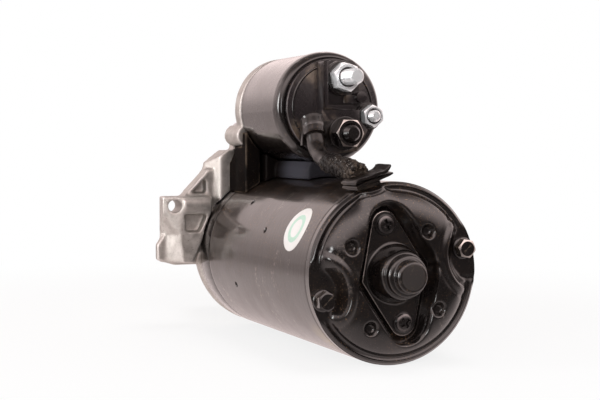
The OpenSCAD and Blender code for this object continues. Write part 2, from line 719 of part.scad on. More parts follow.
// Seal block that carries the lever pin and fills the gap between solenoid and yoke
seal_half = fork_out + 1;
seal_wide = seal_half + 3.4;
seal_rear = lever_y - 11.5;
seal_front = lever_y + 6.5;
seal_rise = 7.7;
seal_shoulder = 9;
seal_top = sol_z - can_r + seal_rise;
seal_foot = yoke_r - 16;
step_half = 16.5;
step_long = 15;
tail_half = 9;
tail_slant = 2;
tail_rear = can_rear + 2;
cheek_in = seal_half - 5;
cheek_rear = can_front - 2;
cheek_top = sol_z - 12;
module seal_section2d(half) polygon([
    [-half, seal_foot], [-half, seal_top - seal_shoulder], [-seal_half + 1, seal_top],
    [seal_half - 1, seal_top], [half, seal_top - seal_shoulder], [half, seal_foot]]);
// The tail's upper corners are slanted
tail_wide = tail_half + tail_slant;
tail_top = seal_top - 6;
module tail_section2d() polygon([
    [-tail_wide, seal_foot], [-tail_wide, tail_top - 5], [-tail_half, tail_top],
    [tail_half, tail_top], [tail_wide, tail_top - 5], [tail_wide, seal_foot]]);
// Side cheeks that climb beside the can and fall away along the hump
module seal_cheeks() difference() {
    across(seal_wide) polygon([
        [cheek_rear, seal_foot], [hump_rear - loose, seal_foot],
        [hump_rear - loose, seal_top - seal_shoulder], [sol_front, cheek_top], [cheek_rear, cheek_top]]);
    translate([-cheek_in, cheek_rear - 1, 0])
        cube([2 * cheek_in, hump_rear - cheek_rear + 2, cheek_top + 1]);
    on_solenoid() slab(sol_front - loose, hump_rear + 1) lobes2d(2 * loose);
}
module lever_seal() color("#151314") difference() {
    union() {
        intersection() {
            across(seal_wide) polygon([
                [seal_rear, seal_foot], [seal_front, seal_foot], [seal_front, lever_z + 5],
                [hump_rear, seal_top], [seal_rear, seal_top]]);
            union() {
                slab(seal_rear, hump_rear - loose) seal_section2d(seal_wide);
                slab(seal_rear, seal_front) seal_section2d(seal_half);
            }
        }
        seal_cheeks();
        translate([-step_half, seal_rear - step_long, seal_foot])
            cube([2 * step_half, step_long, seal_top - 3 - seal_foot]);
        slab(tail_rear, seal_rear) tail_section2d();
    }
    rod(yoke_r + loose, tail_rear - 1, seal_front + 1);
    on_solenoid() rod(collar_r, tail_rear - 1, sol_front + loose);
    translate([-hub_half - loose, lever_y - 7.5, 0]) cube([2 * (hub_half + loose), 20, seal_top + 1]);
    translate([0, lever_y, lever_z]) cross_rod(lever_pin_d / 2, -pin_half, pin_half);
}

// Drive housing
pad_t = 8;
lobe_angles = [60, 210, 330];
module lobes2d(grow) {
    circle(can_r - 0.4 + grow);
    for (a = lobe_angles) rotate(a) translate([lobe_orbit_r, 0]) circle(lobe_r + grow);
}
hump_rear = lever_y + 3.5;
hump_top = lever_z + 6.7;
slot_half = seal_half;
// The upper screw sits on the pad, the two lower ones on longer lobes that run into the hump
function screw_seat(a) = a < 180 ? sol_front + pad_t : hump_rear + 1;
mount_at = mount_pcd / 2 * [cos(mount_angle), sin(mount_angle)];
boss_back = 5;
skin = 0.1;
// One ear round its hole: a thin boss, a deeper body with a slanted side, a round rib and a foot
module at_hole() translate([mount_at[0], 0, mount_at[1]]) children();
module ear_solid() at_hole() {
    hull() {
        slab(boss_back - ear_depth, boss_back - ear_depth + skin)
            polygon([[-6.2, 5.3], [-6.2, -3.2], [3, -3.2], [3, 5.3]]);
        slab(-ear_depth, -ear_depth + skin)
            polygon([[5, 5.3], [2.2, -15.6], [16, -15.6], [20.4, -2.6], [20.4, 5.3]]);
        slab(-skin, 0) polygon([[-5.4, 5.3], [-5.4, -15.6], [20.4, -15.6], [20.4, 5.3]]);
    }
    hull() {
        slab(-ear_depth, -ear_depth + skin) polygon([[2.2, -15.6], [3.8, -31.1], [9.4, -31.2], [16, -15.6]]);
        slab(-skin, 0) polygon([[-5.4, -15.6], [-5.4, -31.5], [16, -31.5], [16, -15.6]]);
    }
    slab(-5, 0) polygon([[-7.8, -21.5], [-7.8, -30], [2, -33], [20, -33], [34, -10], [34, 5.3], [10, 5.3]]);
    bar([4, 2.2 - ear_depth, 1], [20, 2.2 - ear_depth, 1], 4.2);
}
module ear_cuts() at_hole() {
    slab(-ear_depth - 1, 1) circle(d = mount_hole_d);
    slab(-ear_depth - 1, -ear_depth + 6) polygon([[5, -4.6], [18, -4.6], [13.6, -14.2], [6, -14.2]]);
}
module both_ears() for (a = [0, 180]) rotate([0, a, 0]) children();
// Web from the ear up to the lever hump, with its three-cornered pocket
web_t = 11;
module ear_web() at_hole() difference() {
    slab(-web_t, 0) polygon([[4.5, 4], [19.4, 20], [30, 20], [30, 4]]);
    slab(-web_t - 1, 5 - web_t) polygon([[10, 7], [18.4, 16], [18.4, 7]]);
}
module hump_solid() {
    intersection() {
        linear_extrude(hump_top) for (s = [0, 1]) mirror([s, 0])
            polygon([[0, hump_rear], [32, hump_rear], [37.6, -3], [37.6, 0], [0, 0]]);
        slab(hump_rear - 1, 1) polygon([
            [-38, yoke_r - 20], [-38, hump_top - 11.5], [-37, hump_top - 7], [-28, hump_top],
            [28, hump_top], [37, hump_top - 7], [38, hump_top - 11.5], [38, yoke_r - 20]]);
    }
    slab(hump_rear, -6) polygon([[-25.5, lever_z], [25.5, lever_z], [22, sol_z - 10], [-22, sol_z - 10]]);
}
module dome_solid() on_solenoid() {
    slab(sol_front, sol_front + pad_t) lobes2d(0);
    turned() polygon([[0, sol_front], [can_r, sol_front], [can_r, sol_front + pad_t],
                      [21, hook_y + 2], [15, hook_y + 12], [11, hook_y + 14.5], [0, hook_y + 14.5]]);
    slab(sol_front, hump_rear + 1) intersection() {
        lobes2d(0);
        translate([-40, seal_top + loose - sol_z]) square([80, 12]);
    }
}
chamber_r = 11.5;
// Where a point of the lever, given from its pin in Y and Z, stands when the lever is fully swung
function swung(p) = [lever_y, lever_z] + [p[0] * cos(lever_swing) - p[1] * sin(lever_swing),
                                          p[0] * sin(lever_swing) + p[1] * cos(lever_swing)];
room_gap = 1.5;
room_far = fork_arm_y + fork_arm_t / 2 + room_gap;
room_top = swung([room_far, 0]);
room_low = swung([room_far, -34]);
room_floor = 12;
module lever_room() {
    across(slot_half) polygon([
        [y_case - 1, room_floor], [room_low[0] + 1.3, room_floor], room_low, room_top,
        [seal_front + 2, lever_z + 3.5], [hump_rear, seal_top + loose], [sol_front - 1, seal_top + loose],
        [sol_front - 1, yoke_r - 8], [y_case - 1, yoke_r - 8]]);
    translate([-chamber_r, sol_front - 1, lever_z - 2])
        cube([2 * chamber_r, hook_y + 10.5 - sol_front, sol_z - lever_z + 2]);
    on_solenoid() rod(chamber_r, sol_front - 1, hook_y + 11);
}
nose_wall = 4.5;
clutch_room_r = clutch_d / 2 + 2.5;
pinion_room_r = pinion_tip_r + 3;
clutch_end = shell_front + clutch_travel + 2.5;
fork_room_r = fork_out + 4;
mouth_half = 13;
module drive_housing() color("#b9b2ab") difference() {
    union() {
        rod(yoke_r, y_case, 0);
        turned() polygon([
            [0, -1], [pilot_d / 2, -1], [pilot_d / 2, pilot_len - 1], [pilot_d / 2 - 1, pilot_len],
            [fork_room_r + nose_wall, pilot_len + 6], [clutch_room_r + nose_wall, pilot_len + 12],
            [clutch_room_r + nose_wall, clutch_end], [pinion_room_r + nose_wall, clutch_end + 9],
            [pinion_room_r + nose_wall - 1, nose_bush_rear + 3],
            [shaft_r + nose_bush_t + 5, nose_end], [0, nose_end]]);
        both_ears() ear_solid();
        ear_web();
        hump_solid();
        dome_solid();
    }
    both_ears() ear_cuts();
    turned() polygon([[0, y_case - 1], [cavity_r, y_case - 1], [cavity_r, 1], [fork_room_r, 4],
                      [fork_room_r, pilot_len + 6], [clutch_room_r, pilot_len + 9],
                      [clutch_room_r, clutch_end], [pinion_room_r, clutch_end + 4],
                      [pinion_room_r, nose_bush_rear - 0.5],
                      [shaft_r + nose_bush_t, nose_bush_rear - 0.5], [shaft_r + nose_bush_t, nose_end + 1],
                      [0, nose_end + 1]]);
    lever_room();
    rod(yoke_r + loose, sol_front - 1, y_case);
    bolt_places() rod(bolt_r, y_case - 1, -2);
    on_solenoid() for (a = lobe_angles) polar(screw_orbit_r, a) {
        rod(sol_screw_r + loose, sol_front - 1, screw_seat(a) + 1);
        rod(sol_head_r + 0.8, screw_seat(a), 20);
    }
    translate([pinion_tip_r - 6, clutch_end + 5, -mouth_half])
        cube([40, nose_bush_rear - clutch_end - 8, 2 * mouth_half]);
}

// Solenoid
module solenoid_flange() color("#1d1c1d") on_solenoid() slab(can_front, sol_front) difference() {
    circle(can_r - 0.4);
    circle(plunger_r + guide_tube_t);
    for (a = lobe_angles) rotate(a) translate([screw_orbit_r, 0]) circle(sol_screw_r);
}
module solenoid_can() color("#1b1a1b") on_solenoid() turned() polygon([
    [can_bore_r, can_front], [can_r, can_front], [can_r, can_rear + collar_len],
    [collar_r, can_rear + collar_len - 0.6], [collar_r, can_rear + 0.6], [collar_r - 0.6, can_rear],
    [cap_body_r + slide_fit, can_rear], [cap_body_r + slide_fit, can_rear + lip_t],
    [can_bore_r, can_rear + lip_t]]);
bobbin_rear = core_plate_rear + core_plate_t;
module coil_bobbin() color("#d8d2c4") on_solenoid() turned() polygon([
    [plunger_r + slide_fit, bobbin_rear], [can_bore_r - 0.5, bobbin_rear],
    [can_bore_r - 0.5, bobbin_rear + bobbin_t], [plunger_r + guide_tube_t, bobbin_rear + bobbin_t],
    [plunger_r + guide_tube_t, can_front - bobbin_t], [can_bore_r - 0.5, can_front - bobbin_t],
    [can_bore_r - 0.5, can_front], [plunger_r + guide_tube_t, can_front],
    [plunger_r + guide_tube_t, sol_front], [plunger_r + slide_fit, sol_front]]);
module coil_winding() color("#a85f33") on_solenoid()
    tube(can_bore_r - 2, plunger_r + guide_tube_t, bobbin_rear + bobbin_t, can_front - bobbin_t);
module solenoid_core() color("#7c7e82") on_solenoid() difference() {
    union() {
        rod(cap_flange_r, core_plate_rear, bobbin_rear);
        rod(core_r, bobbin_rear, core_front);
    }
    rod(rod_r + run_fit, core_plate_rear - 1, core_front + 1);
    rod(spring_r + 1.5, core_front - 3, core_front + 1);
}
spring_r = 5.5;
spring_wire_r = 0.7;
spring_pocket = 6;
module plunger() color("#94969a") on_solenoid() difference() {
    union() {
        rod(plunger_r - run_fit, plunger_rear, sol_front + 4);
        rod(5, sol_front + 3, hook_y - 6);
        translate([-hook_half, hook_y - 7.5, -3]) cube([2 * hook_half, 15.5, 7.5]);
    }
    translate([-4 - loose, hook_y - lever_tip_r - 0.5, -5])
        cube([8 + 2 * loose, 2 * lever_tip_r + 1, 12]);
    rod(spring_r + 1.5, plunger_rear - 1, plunger_rear + spring_pocket);
}
module return_spring() color("#9a9a9c") on_solenoid() {
    seat = core_front - 3 + spring_wire_r + slide_fit;
    span = plunger_rear + spring_pocket - spring_wire_r - slide_fit - seat;
    translate([0, seat, 0]) rotate([-90, 0, 0]) swept(coil_path(spring_r, span, 5), spring_wire_r, 6);
}
bridge_half = [3.5, 2.5, 19];
module contact_bridge() color("#b3673a") on_solenoid() {
    rod(rod_r, bridge_y + bridge_half[1] / 2, core_front - 2);
    translate([-bridge_half[0], bridge_y - bridge_half[1] / 2, -bridge_half[2]])
        cube([2 * bridge_half[0], bridge_half[1], 2 * bridge_half[2]]);
}
barrier_h = 8;
stud_head_t = 2.5;
stud_head_in = cap_face + cap_wall + stud_head_t;
module solenoid_cap() color("#191718") difference() {
    union() {
        on_solenoid() rod(cap_flange_r, can_rear + lip_t, core_plate_rear);
        on_solenoid() {
            rod(cap_body_r, cap_face, can_rear + lip_t);
            slab(cap_face - 2, cap_face + 1)
                polygon([[-6.5, 1.6], [-6.5, 19.6], [-2, 23.6], [10, 23.6], [14, 19.6], [14, 6.6],
                         [8, 1.6]]);
            slab(motor_face, cap_face + 1)
                polygon([[-9, -1.4], [11.5, -1.4], [11.5, -6.4], [16, -11.4], [10, -21.9], [-3, -23.4],
                         [-9, -19.4]]);
            slab(cap_face - barrier_h, cap_face + 1) {
                translate([-8.4, -1.4]) square([2.5, 23.9]);
                translate([-8.4, -1.4]) square([16, 2.4]);
            }
            slab(cap_face - 9, cap_face + 1) translate([12, 5.1]) circle(2.8);
            slab(cap_face - 6, cap_face + 1) translate([5, 2.1]) square([7, 4]);
        }
        terminal(battery_at) rod(8.6, battery_face, cap_face);
        terminal(trigger_at) rod(7, trigger_face, cap_face + 1);
    }
    on_solenoid() rod(cap_flange_r - cap_side_t, cap_face + cap_wall, core_plate_rear + 1);
    terminal(battery_at) rod(stud_d / 2 - shank_less, battery_end, can_front);
    terminal(motor_at) rod(stud_d / 2 - shank_less, motor_end, can_front);
    terminal(trigger_at) rod(trigger_d / 2 - shank_less, trigger_end, can_front);
}
// A stud with its free thread behind the nut and a slightly slimmer shank through nut and cap
shank_less = 0.6;
stud_head_r = stud_d / 2 + 2;
trigger_head_r = trigger_d / 2 + 0.8;
module stud(at, r, tip, nut_rear, head_r) terminal(at) {
    turned() polygon([[0, tip], [r - 1, tip], [r, tip + 1], [r, nut_rear], [r - shank_less, nut_rear],
                      [r - shank_less, stud_head_in - eps], [0, stud_head_in - eps]]);
    rod(head_r, cap_face + cap_wall, stud_head_in);
}
battery_nut_rear = battery_face - washer_t - nut_h;
motor_nut_rear = motor_face - lug_t - washer_t - nut_h;
trigger_nut_rear = trigger_face - washer_t - trigger_nut_h;
module battery_stud() color("#c9cbd0")
    stud(battery_at, stud_d / 2, battery_end, battery_nut_rear, stud_head_r);
module motor_stud() color("#232122")
    stud(motor_at, stud_d / 2, motor_end, motor_nut_rear, stud_head_r);
module trigger_stud() color("#c9cbd0")
    stud(trigger_at, trigger_d / 2, trigger_end, trigger_nut_rear, trigger_head_r);
module nut(at, rear, h, af, r) terminal(at) difference() {
    slab(rear, rear + h) hex2d(af);
    rod(r - shank_less, rear - 1, rear + h + 1);
}
module terminal_nuts() color("#d5d7dc") {
    nut(battery_at, battery_nut_rear, nut_h, nut_af, stud_d / 2);
    nut(trigger_at, trigger_nut_rear, trigger_nut_h, trigger_af, trigger_d / 2);
}
module motor_nut() color("#1f1d1e") nut(motor_at, motor_nut_rear, nut_h, nut_af, stud_d / 2);
// Washers and the lug's eye pass freely over the thread
eye_gap = 0.4;
module washer(at, seat, r) terminal(at) tube(2 * r + eye_gap, r + eye_gap, seat - washer_t, seat);
module terminal_washers() color("#7d7f83") {
    washer(battery_at, battery_face, stud_d / 2);
    washer(trigger_at, trigger_face, trigger_d / 2);
    washer(motor_at, motor_face - lug_t, stud_d / 2);
}
module solenoid_screws() color("#9c9ea2") on_solenoid() for (a = lobe_angles) polar(screw_orbit_r, a) {
    rod(sol_screw_r, can_front + 0.5, screw_seat(a) + 1);
    rod(sol_head_r, screw_seat(a), screw_seat(a) + 4);
}

// Motor lead
barrel_r = lead_d / 2 + 1;
lug_x = lead_in[0];
module lead_lug() color("#201d1d") difference() {
    union() {
        slab(motor_face - lug_t, motor_face) {
            translate(motor_at) circle(lug_r);
            translate([lug_x - barrel_r, motor_at[1] - lug_half])
                square([motor_at[0] - lug_x + barrel_r, 2 * lug_half]);
        }
        bar(lead_in, lead_out, barrel_r);
    }
    terminal(motor_at) rod(stud_d / 2 + eye_gap, motor_face - lug_t - 1, motor_face + 1);
    bar(lead_in - unit(lead_down), lead_out + unit(lead_down), lead_d / 2);
    translate([lug_x - 2 * barrel_r, motor_face, motor_at[1] - barrel_r]) cube(4 * barrel_r);
}
lug_r = 8.2;
lug_half = 6;
module motor_lead() color("#1c1a1a") swept(smooth(lead_route, 4), lead_d / 2, 12);
grommet_w = 26;
grommet_len = 16;
grommet_t = 2.4;
grommet_gap = 0.5;
module lead_grommet() color("#121112") difference() {
    rotate([0, 90 - grommet_angle, 0]) {
        translate([-notch_w / 2 + slide_fit, y_rim - 2, bore_r - 1])
            cube([notch_w - 2 * slide_fit, rim_t + notch_len + 2 - slide_fit, yoke_wall + 1 + loose]);
        for (z = [yoke_r + loose, yoke_r + loose + grommet_t + grommet_gap])
            translate([-grommet_w / 2, y_rim - 3, z]) cube([grommet_w, grommet_len, grommet_t]);
        translate([-grommet_w / 2 + 1, y_rim - 2, yoke_r + grommet_t])
            cube([grommet_w - 2, grommet_len - 2, 2 * grommet_gap]);
    }
    bar(lead_end + lead_back, lead_end - slide_fit * unit(lead_back), lead_d / 2);
}

yoke();
magnets();
rear_cover();
end_cap();
cap_screws();
through_bolts();
rear_bush();
brush_plate();
brush_boxes();
brush_springs();
brush_1();
brush_2();
brush_3();
brush_4();
armature_shaft();
lamination_stack();
armature_winding();
commutator();
shaft_clip();
gear_case();
gear_partition();
ring_gear();
planet_1();
planet_2();
planet_3();
planet_pins();
drive_shaft();
intermediate_plate();
intermediate_bush();
drive_housing();
nose_bush();
clutch_shell();
clutch_rollers();
guide_ring();
pinion();
stop_collar();
snap_ring();
fork_lever();
lever_pin();
lever_seal();
solenoid_flange();
solenoid_can();
coil_bobbin();
coil_winding();
solenoid_core();
plunger();
return_spring();
contact_bridge();
solenoid_cap();
solenoid_screws();
battery_stud();
motor_stud();
trigger_stud();
terminal_nuts();
motor_nut();
terminal_washers();
lead_lug();
motor_lead();
lead_grommet();
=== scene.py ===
import json
import math
import random

import bmesh
import bpy
import numpy as np
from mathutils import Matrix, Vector


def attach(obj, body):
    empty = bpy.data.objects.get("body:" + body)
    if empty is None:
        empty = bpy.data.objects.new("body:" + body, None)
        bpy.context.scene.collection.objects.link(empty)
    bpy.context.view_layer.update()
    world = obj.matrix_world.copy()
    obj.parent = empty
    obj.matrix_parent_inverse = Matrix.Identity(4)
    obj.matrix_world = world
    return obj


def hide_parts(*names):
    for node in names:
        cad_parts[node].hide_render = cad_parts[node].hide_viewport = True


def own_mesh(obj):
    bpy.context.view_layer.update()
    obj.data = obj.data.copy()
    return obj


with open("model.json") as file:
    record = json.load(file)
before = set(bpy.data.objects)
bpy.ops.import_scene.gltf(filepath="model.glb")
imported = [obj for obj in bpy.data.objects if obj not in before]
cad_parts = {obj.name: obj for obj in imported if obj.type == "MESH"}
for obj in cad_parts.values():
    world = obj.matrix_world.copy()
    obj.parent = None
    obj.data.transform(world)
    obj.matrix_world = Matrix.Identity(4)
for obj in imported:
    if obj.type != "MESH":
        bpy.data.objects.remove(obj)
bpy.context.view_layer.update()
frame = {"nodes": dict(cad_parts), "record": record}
cadNodes = frame["nodes"]
mm = 0.001  # shapes below are written in millimetres
scene = bpy.context.scene
scene.view_settings.view_transform = "Standard"
print("frame loaded with", len(cadNodes), "nodes")


# mesh helpers

def makePiece(name, points, faces, finish, slot, body="case", sharp=35, weld=1e-7):
    mesh = bpy.data.meshes.new(name)
    mesh.from_pydata([[c * mm for c in p] for p in points], [], faces)
    shape = bmesh.new()
    shape.from_mesh(mesh)
    bmesh.ops.remove_doubles(shape, verts=shape.verts, dist=weld)
    bmesh.ops.recalc_face_normals(shape, faces=shape.faces)
    shape.to_mesh(mesh)
    shape.free()
    mesh.shade_smooth()
    mesh.set_sharp_from_angle(angle=math.radians(sharp))
    mesh.materials.append(finish)
    piece = bpy.data.objects.new(name, mesh)
    scene.collection.objects.link(piece)
    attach(piece, body)
    return piece


def paintFaces(piece, finish, chosen):
    # a second finish on the faces that chosen picks by their middle and normal, in millimetres
    piece.data.materials.append(finish)
    for face in piece.data.polygons:
        if chosen(face.center / mm, face.normal):
            face.material_index = len(piece.data.materials) - 1


def ringFaces(rings, steps, closeFirst=False, closeLast=False, loop=False):
    faces = []
    for i in range(rings - 1):
        for k in range(steps):
            a, b = i * steps + k, i * steps + (k + 1) % steps
            faces.append((a, b, b + steps, a + steps))
    last = (rings - 1) * steps
    if closeFirst:
        faces.append(tuple(range(steps)))
    if closeLast:
        faces.append(tuple(last + k for k in range(steps)))
    if loop:  # the last ring joins the first
        faces += [(last + k, last + (k + 1) % steps, (k + 1) % steps, k) for k in range(steps)]
    return faces


def joinShapes(*shapes):
    points, faces = [], []
    for shapePoints, shapeFaces in shapes:
        faces += [tuple(i + len(points) for i in face) for face in shapeFaces]
        points += [tuple(p) for p in shapePoints]
    return points, faces


def softOutline(corners, radius, arcSteps=4):
    soft = [np.array(corners[0], float)]
    for before, corner, after in zip(corners, corners[1:], corners[2:]):
        before, corner, after = (np.array(p, float) for p in (before, corner, after))
        gapIn, gapOut = np.linalg.norm(before - corner), np.linalg.norm(after - corner)
        reach = min(radius, 0.45 * gapIn, 0.45 * gapOut)
        start = corner + (before - corner) * reach / gapIn
        stop = corner + (after - corner) * reach / gapOut
        for t in np.linspace(0, 1, arcSteps + 1):
            soft.append((1 - t) ** 2 * start + 2 * t * (1 - t) * corner + t * t * stop)
    soft.append(np.array(corners[-1], float))
    return soft


def turnSteps(steps):
    return [2 * math.pi * k / steps for k in range(steps)]


def roundPoint(r, a, y, centre=(0, 0)):
    return centre[0] + r * math.cos(a), y, centre[1] + r * math.sin(a)


def spotAt(r, degrees):
    return r * math.cos(math.radians(degrees)), r * math.sin(math.radians(degrees))


def turnedBack(x, z, degrees):
    c, s = math.cos(math.radians(degrees)), math.sin(math.radians(degrees))
    return x * c + z * s, z * c - x * s


def awayFrom(centre, point):
    return math.hypot(point.x - centre[0], point.z - centre[1])


def turnedShape(outline, centre=(0, 0), steps=96, ripple=None):
    # outline is radius and station along the motor axis, centre is X and Z
    points = []
    for r, y in outline:
        points += [roundPoint(r + (ripple(a, r, y) if ripple else 0), a, y, centre) for a in turnSteps(steps)]
    return points, ringFaces(len(outline), steps, closeFirst=True, closeLast=True)


def pipeFrames(path):
    path = np.array(path, float)
    ahead = np.gradient(path, axis=0)
    ahead /= np.linalg.norm(ahead, axis=1)[:, None]
    side = np.cross(ahead[0], (0.3, 0.2, 1.0))
    sides = []
    for t in ahead:
        side = side - t * side.dot(t)
        side = side / np.linalg.norm(side)
        sides.append(side.copy())
    sides = np.array(sides)
    return path, sides, np.cross(ahead, sides)


def pipeShape(path, radiusAt, steps=24):
    path, sides, ups = pipeFrames(path)
    points = []
    for i, p in enumerate(path):
        for a in turnSteps(steps):
            r = radiusAt(i / (len(path) - 1), a)
            points.append(tuple(p + r * (math.cos(a) * sides[i] + math.sin(a) * ups[i])))
    return points, ringFaces(len(path), steps, closeFirst=True, closeLast=True)


def smoothRun(points, between=10):
    p = np.array(points, float)
    run = []
    for i in range(len(p) - 1):
        a, b, c, d = p[max(i - 1, 0)], p[i], p[i + 1], p[min(i + 2, len(p) - 1)]
        for s in range(between):
            t = s / between
            run.append(0.5 * (2 * b + (c - a) * t + (2 * a - 5 * b + 4 * c - d) * t ** 2
                              + (3 * b - a - 3 * c + d) * t ** 3))
    run.append(p[-1])
    return np.array(run)


def stepSmooth(low, high, value):
    t = np.clip((value - low) / (high - low), 0, 1)
    return t * t * (3 - 2 * t)


def ridge(value, rise, at, wide):
    # a soft ridge where value passes at, or a groove where rise is below zero
    return rise * np.exp(-((value - at) / wide) ** 2)


# finish helpers

def newFinish(name, fixed):
    finish = bpy.data.materials.new(name)
    finish.use_nodes = True
    tree = finish.node_tree
    shader = tree.nodes["Principled BSDF"]
    for socket, value in fixed.items():
        shader.inputs[socket].default_value = value
    return finish, tree, shader, addNode(tree, "TexCoord").outputs["Object"]


def setInput(tree, target, value):
    if isinstance(value, bpy.types.NodeSocket):
        tree.links.new(value, target)
    else:
        target.default_value = value


def addNode(tree, kind, *inOrder, **byName):
    node = tree.nodes.new("ShaderNode" + kind)
    for target, value in zip(node.inputs, inOrder):
        setInput(tree, target, value)
    for name, value in byName.items():
        setInput(tree, node.inputs[name], value)
    return node


def grain(tree, place, scale, detail=4.0, rough=0.6, stretch=None):
    if stretch:
        place = addNode(tree, "Mapping", Vector=place, Scale=stretch).outputs["Vector"]
    return addNode(tree, "TexNoise", Vector=place, Scale=scale, Detail=detail, Roughness=rough).outputs["Fac"]


def calc(tree, operation, a, b=0.0, clamp=False):
    node = addNode(tree, "Math", a, b)
    node.operation = operation
    node.use_clamp = clamp
    return node.outputs[0]


def times(tree, a, b, clamp=False):
    return calc(tree, "MULTIPLY", a, b, clamp)


def spread(tree, value, low, high, outLow=0.0, outHigh=1.0):
    node = addNode(tree, "MapRange", value, low, high, outLow, outHigh)
    node.interpolation_type = "SMOOTHSTEP"
    return node.outputs["Result"]


def blendColour(tree, share, first, second):
    node = addNode(tree, "Mix", share)
    node.data_type = "RGBA"
    for target, tint in zip(node.inputs[6:8], (first, second)):
        setInput(tree, target, tint if isinstance(tint, bpy.types.NodeSocket) else (*tint, 1))
    return node.outputs[2]


def distanceTo(tree, place, middle=(0, 0, 0)):
    node = addNode(tree, "VectorMath", place, middle)
    node.operation = "DISTANCE"
    return node.outputs["Value"]


def addBump(tree, height, depth, strength=1.0, under=None):
    node = addNode(tree, "Bump", Strength=strength, Distance=depth, Height=height)
    if under:
        tree.links.new(under, node.inputs["Normal"])
    return node.outputs["Normal"]


def splitAxes(tree, vector):
    return addNode(tree, "SeparateXYZ", vector).outputs


def finishUp(tree, shader, colour, roughness, normal=None):
    tree.links.new(colour, shader.inputs["Base Color"])
    tree.links.new(roughness, shader.inputs["Roughness"])
    if normal:
        tree.links.new(normal, shader.inputs["Normal"])


# black paint: a gloss coat over steel, with fine ripples, a few scuffs, specks of brown dust (pale painted
# glints on the braid), and sharp edges lightened as wear and as a painted highlight
paintSet = {"black": (0.005, 0.0038, 0.0036), "dustAndGlint": (0.27, 0.16, 0.085), "haze": (0.085, 0.055, 0.038),
            "scuff": (0.2, 0.165, 0.14), "wornAndHighlitEdge": (0.2, 0.15, 0.11), "coatRoughness": 0.08, "coatIndex": 1.6,
            "speckScale": 1500, "patchScale": 55, "scrapeScale": 38, "fleckScale": 600, "rippleScale": 420,
            "brushScale": 40, "lumpScale": 900}


def blackPaint(name, dustAndGlint=0.35, ripple=0.5, lumps=0.0, gloss=0.24, coat=1.0, base=paintSet["black"],
               specular=0.2, dustAndGlintTint=paintSet["dustAndGlint"], edgeWearAndHighlight=0.5, edgeWearAndHighlightRange=(0.56, 0.64), scuff=0.25, stain=None):
    v = paintSet
    paint = {"Specular IOR Level": specular, "Coat Weight": coat, "Coat Roughness": v["coatRoughness"],
             "Coat IOR": v["coatIndex"]}
    finish, tree, shader, place = newFinish(name, paint)
    geometry = addNode(tree, "NewGeometry").outputs
    fine = grain(tree, place, v["speckScale"], 2.0)
    patches = grain(tree, place, v["patchScale"], 5.0)
    specks = times(tree, spread(tree, fine, 0.61, 0.69), spread(tree, patches, 0.4, 0.62))
    upward = spread(tree, splitAxes(tree, geometry["Normal"])["Z"], -0.2, 0.9, 0.35, 1.0)
    # specks, more on faces turned up: brown dust, and on the braid pale painted glints
    dustAndGlintShare = times(tree, times(tree, specks, upward), dustAndGlint, clamp=True)
    haze = times(tree, spread(tree, patches, 0.45, 0.8), 0.10 * dustAndGlint)
    scraped = spread(tree, grain(tree, place, v["scrapeScale"], 5.0, 0.7, (1.0, 2.2, 1.0)), 0.57, 0.66)
    flecks = spread(tree, grain(tree, place, v["fleckScale"], 4.0, 0.7), 0.5, 0.62)
    scuffs = times(tree, scraped, flecks)
    # edges lightened by pointiness: wear, raised on the cap and the seal as a painted highlight
    wornAndHighlitEdge = times(tree, spread(tree, geometry["Pointiness"], *edgeWearAndHighlightRange), spread(tree, patches, 0.45, 0.7))
    colour = blendColour(tree, haze, base, v["haze"])
    for share, tint in ((dustAndGlintShare, dustAndGlintTint), (times(tree, scuffs, scuff), v["scuff"]),
                        (times(tree, wornAndHighlitEdge, edgeWearAndHighlight), v["wornAndHighlitEdge"])):
        colour = blendColour(tree, share, colour, tint)
    if stain:  # a tinted spot, given by its middle and reach: an old oil drip on the yoke, a painted sheen on the seal's ledge
        away = distanceTo(tree, place, stain["middle"])
        share = spread(tree, away, 0.2 * stain["reach"], stain["reach"], stain["share"], 0.0)
        colour = blendColour(tree, share, colour, stain["tint"])
    roughness = spread(tree, patches, 0.3, 0.75, gloss, gloss + 0.12)
    roughness = calc(tree, "ADD", roughness, times(tree, dustAndGlintShare, 0.4), clamp=True)
    bump = addBump(tree, grain(tree, place, v["rippleScale"], 2.0), 0.00006, ripple)
    brushed = grain(tree, place, v["brushScale"], 1.0, 0.4, (0.4, 22.0, 0.4))
    bump = addBump(tree, brushed, 0.00003, ripple, bump)
    if lumps:
        bump = addBump(tree, grain(tree, place, v["lumpScale"], 3.0), 0.0003, lumps, bump)
    bump = addBump(tree, specks, 0.00003, 0.6, bump)
    bump = addBump(tree, scuffs, 0.00006, scuff, bump)
    finishUp(tree, shader, colour, roughness, bump)
    return finish


# bare die-cast metal: grey, slightly warm, fine sandy grain and dark pits, with painted shade in its hollows
# and lighter edges that are partly wear and partly a painted highlight
castTints = {"grey": (0.39, 0.37, 0.345), "pale": (0.555, 0.535, 0.505), "patch": (0.33, 0.295, 0.265),
             "pit": (0.17, 0.145, 0.13), "rubbedAndLitEdge": (0.86, 0.83, 0.81), "paintedHollowShade": (0.16, 0.13, 0.11)}


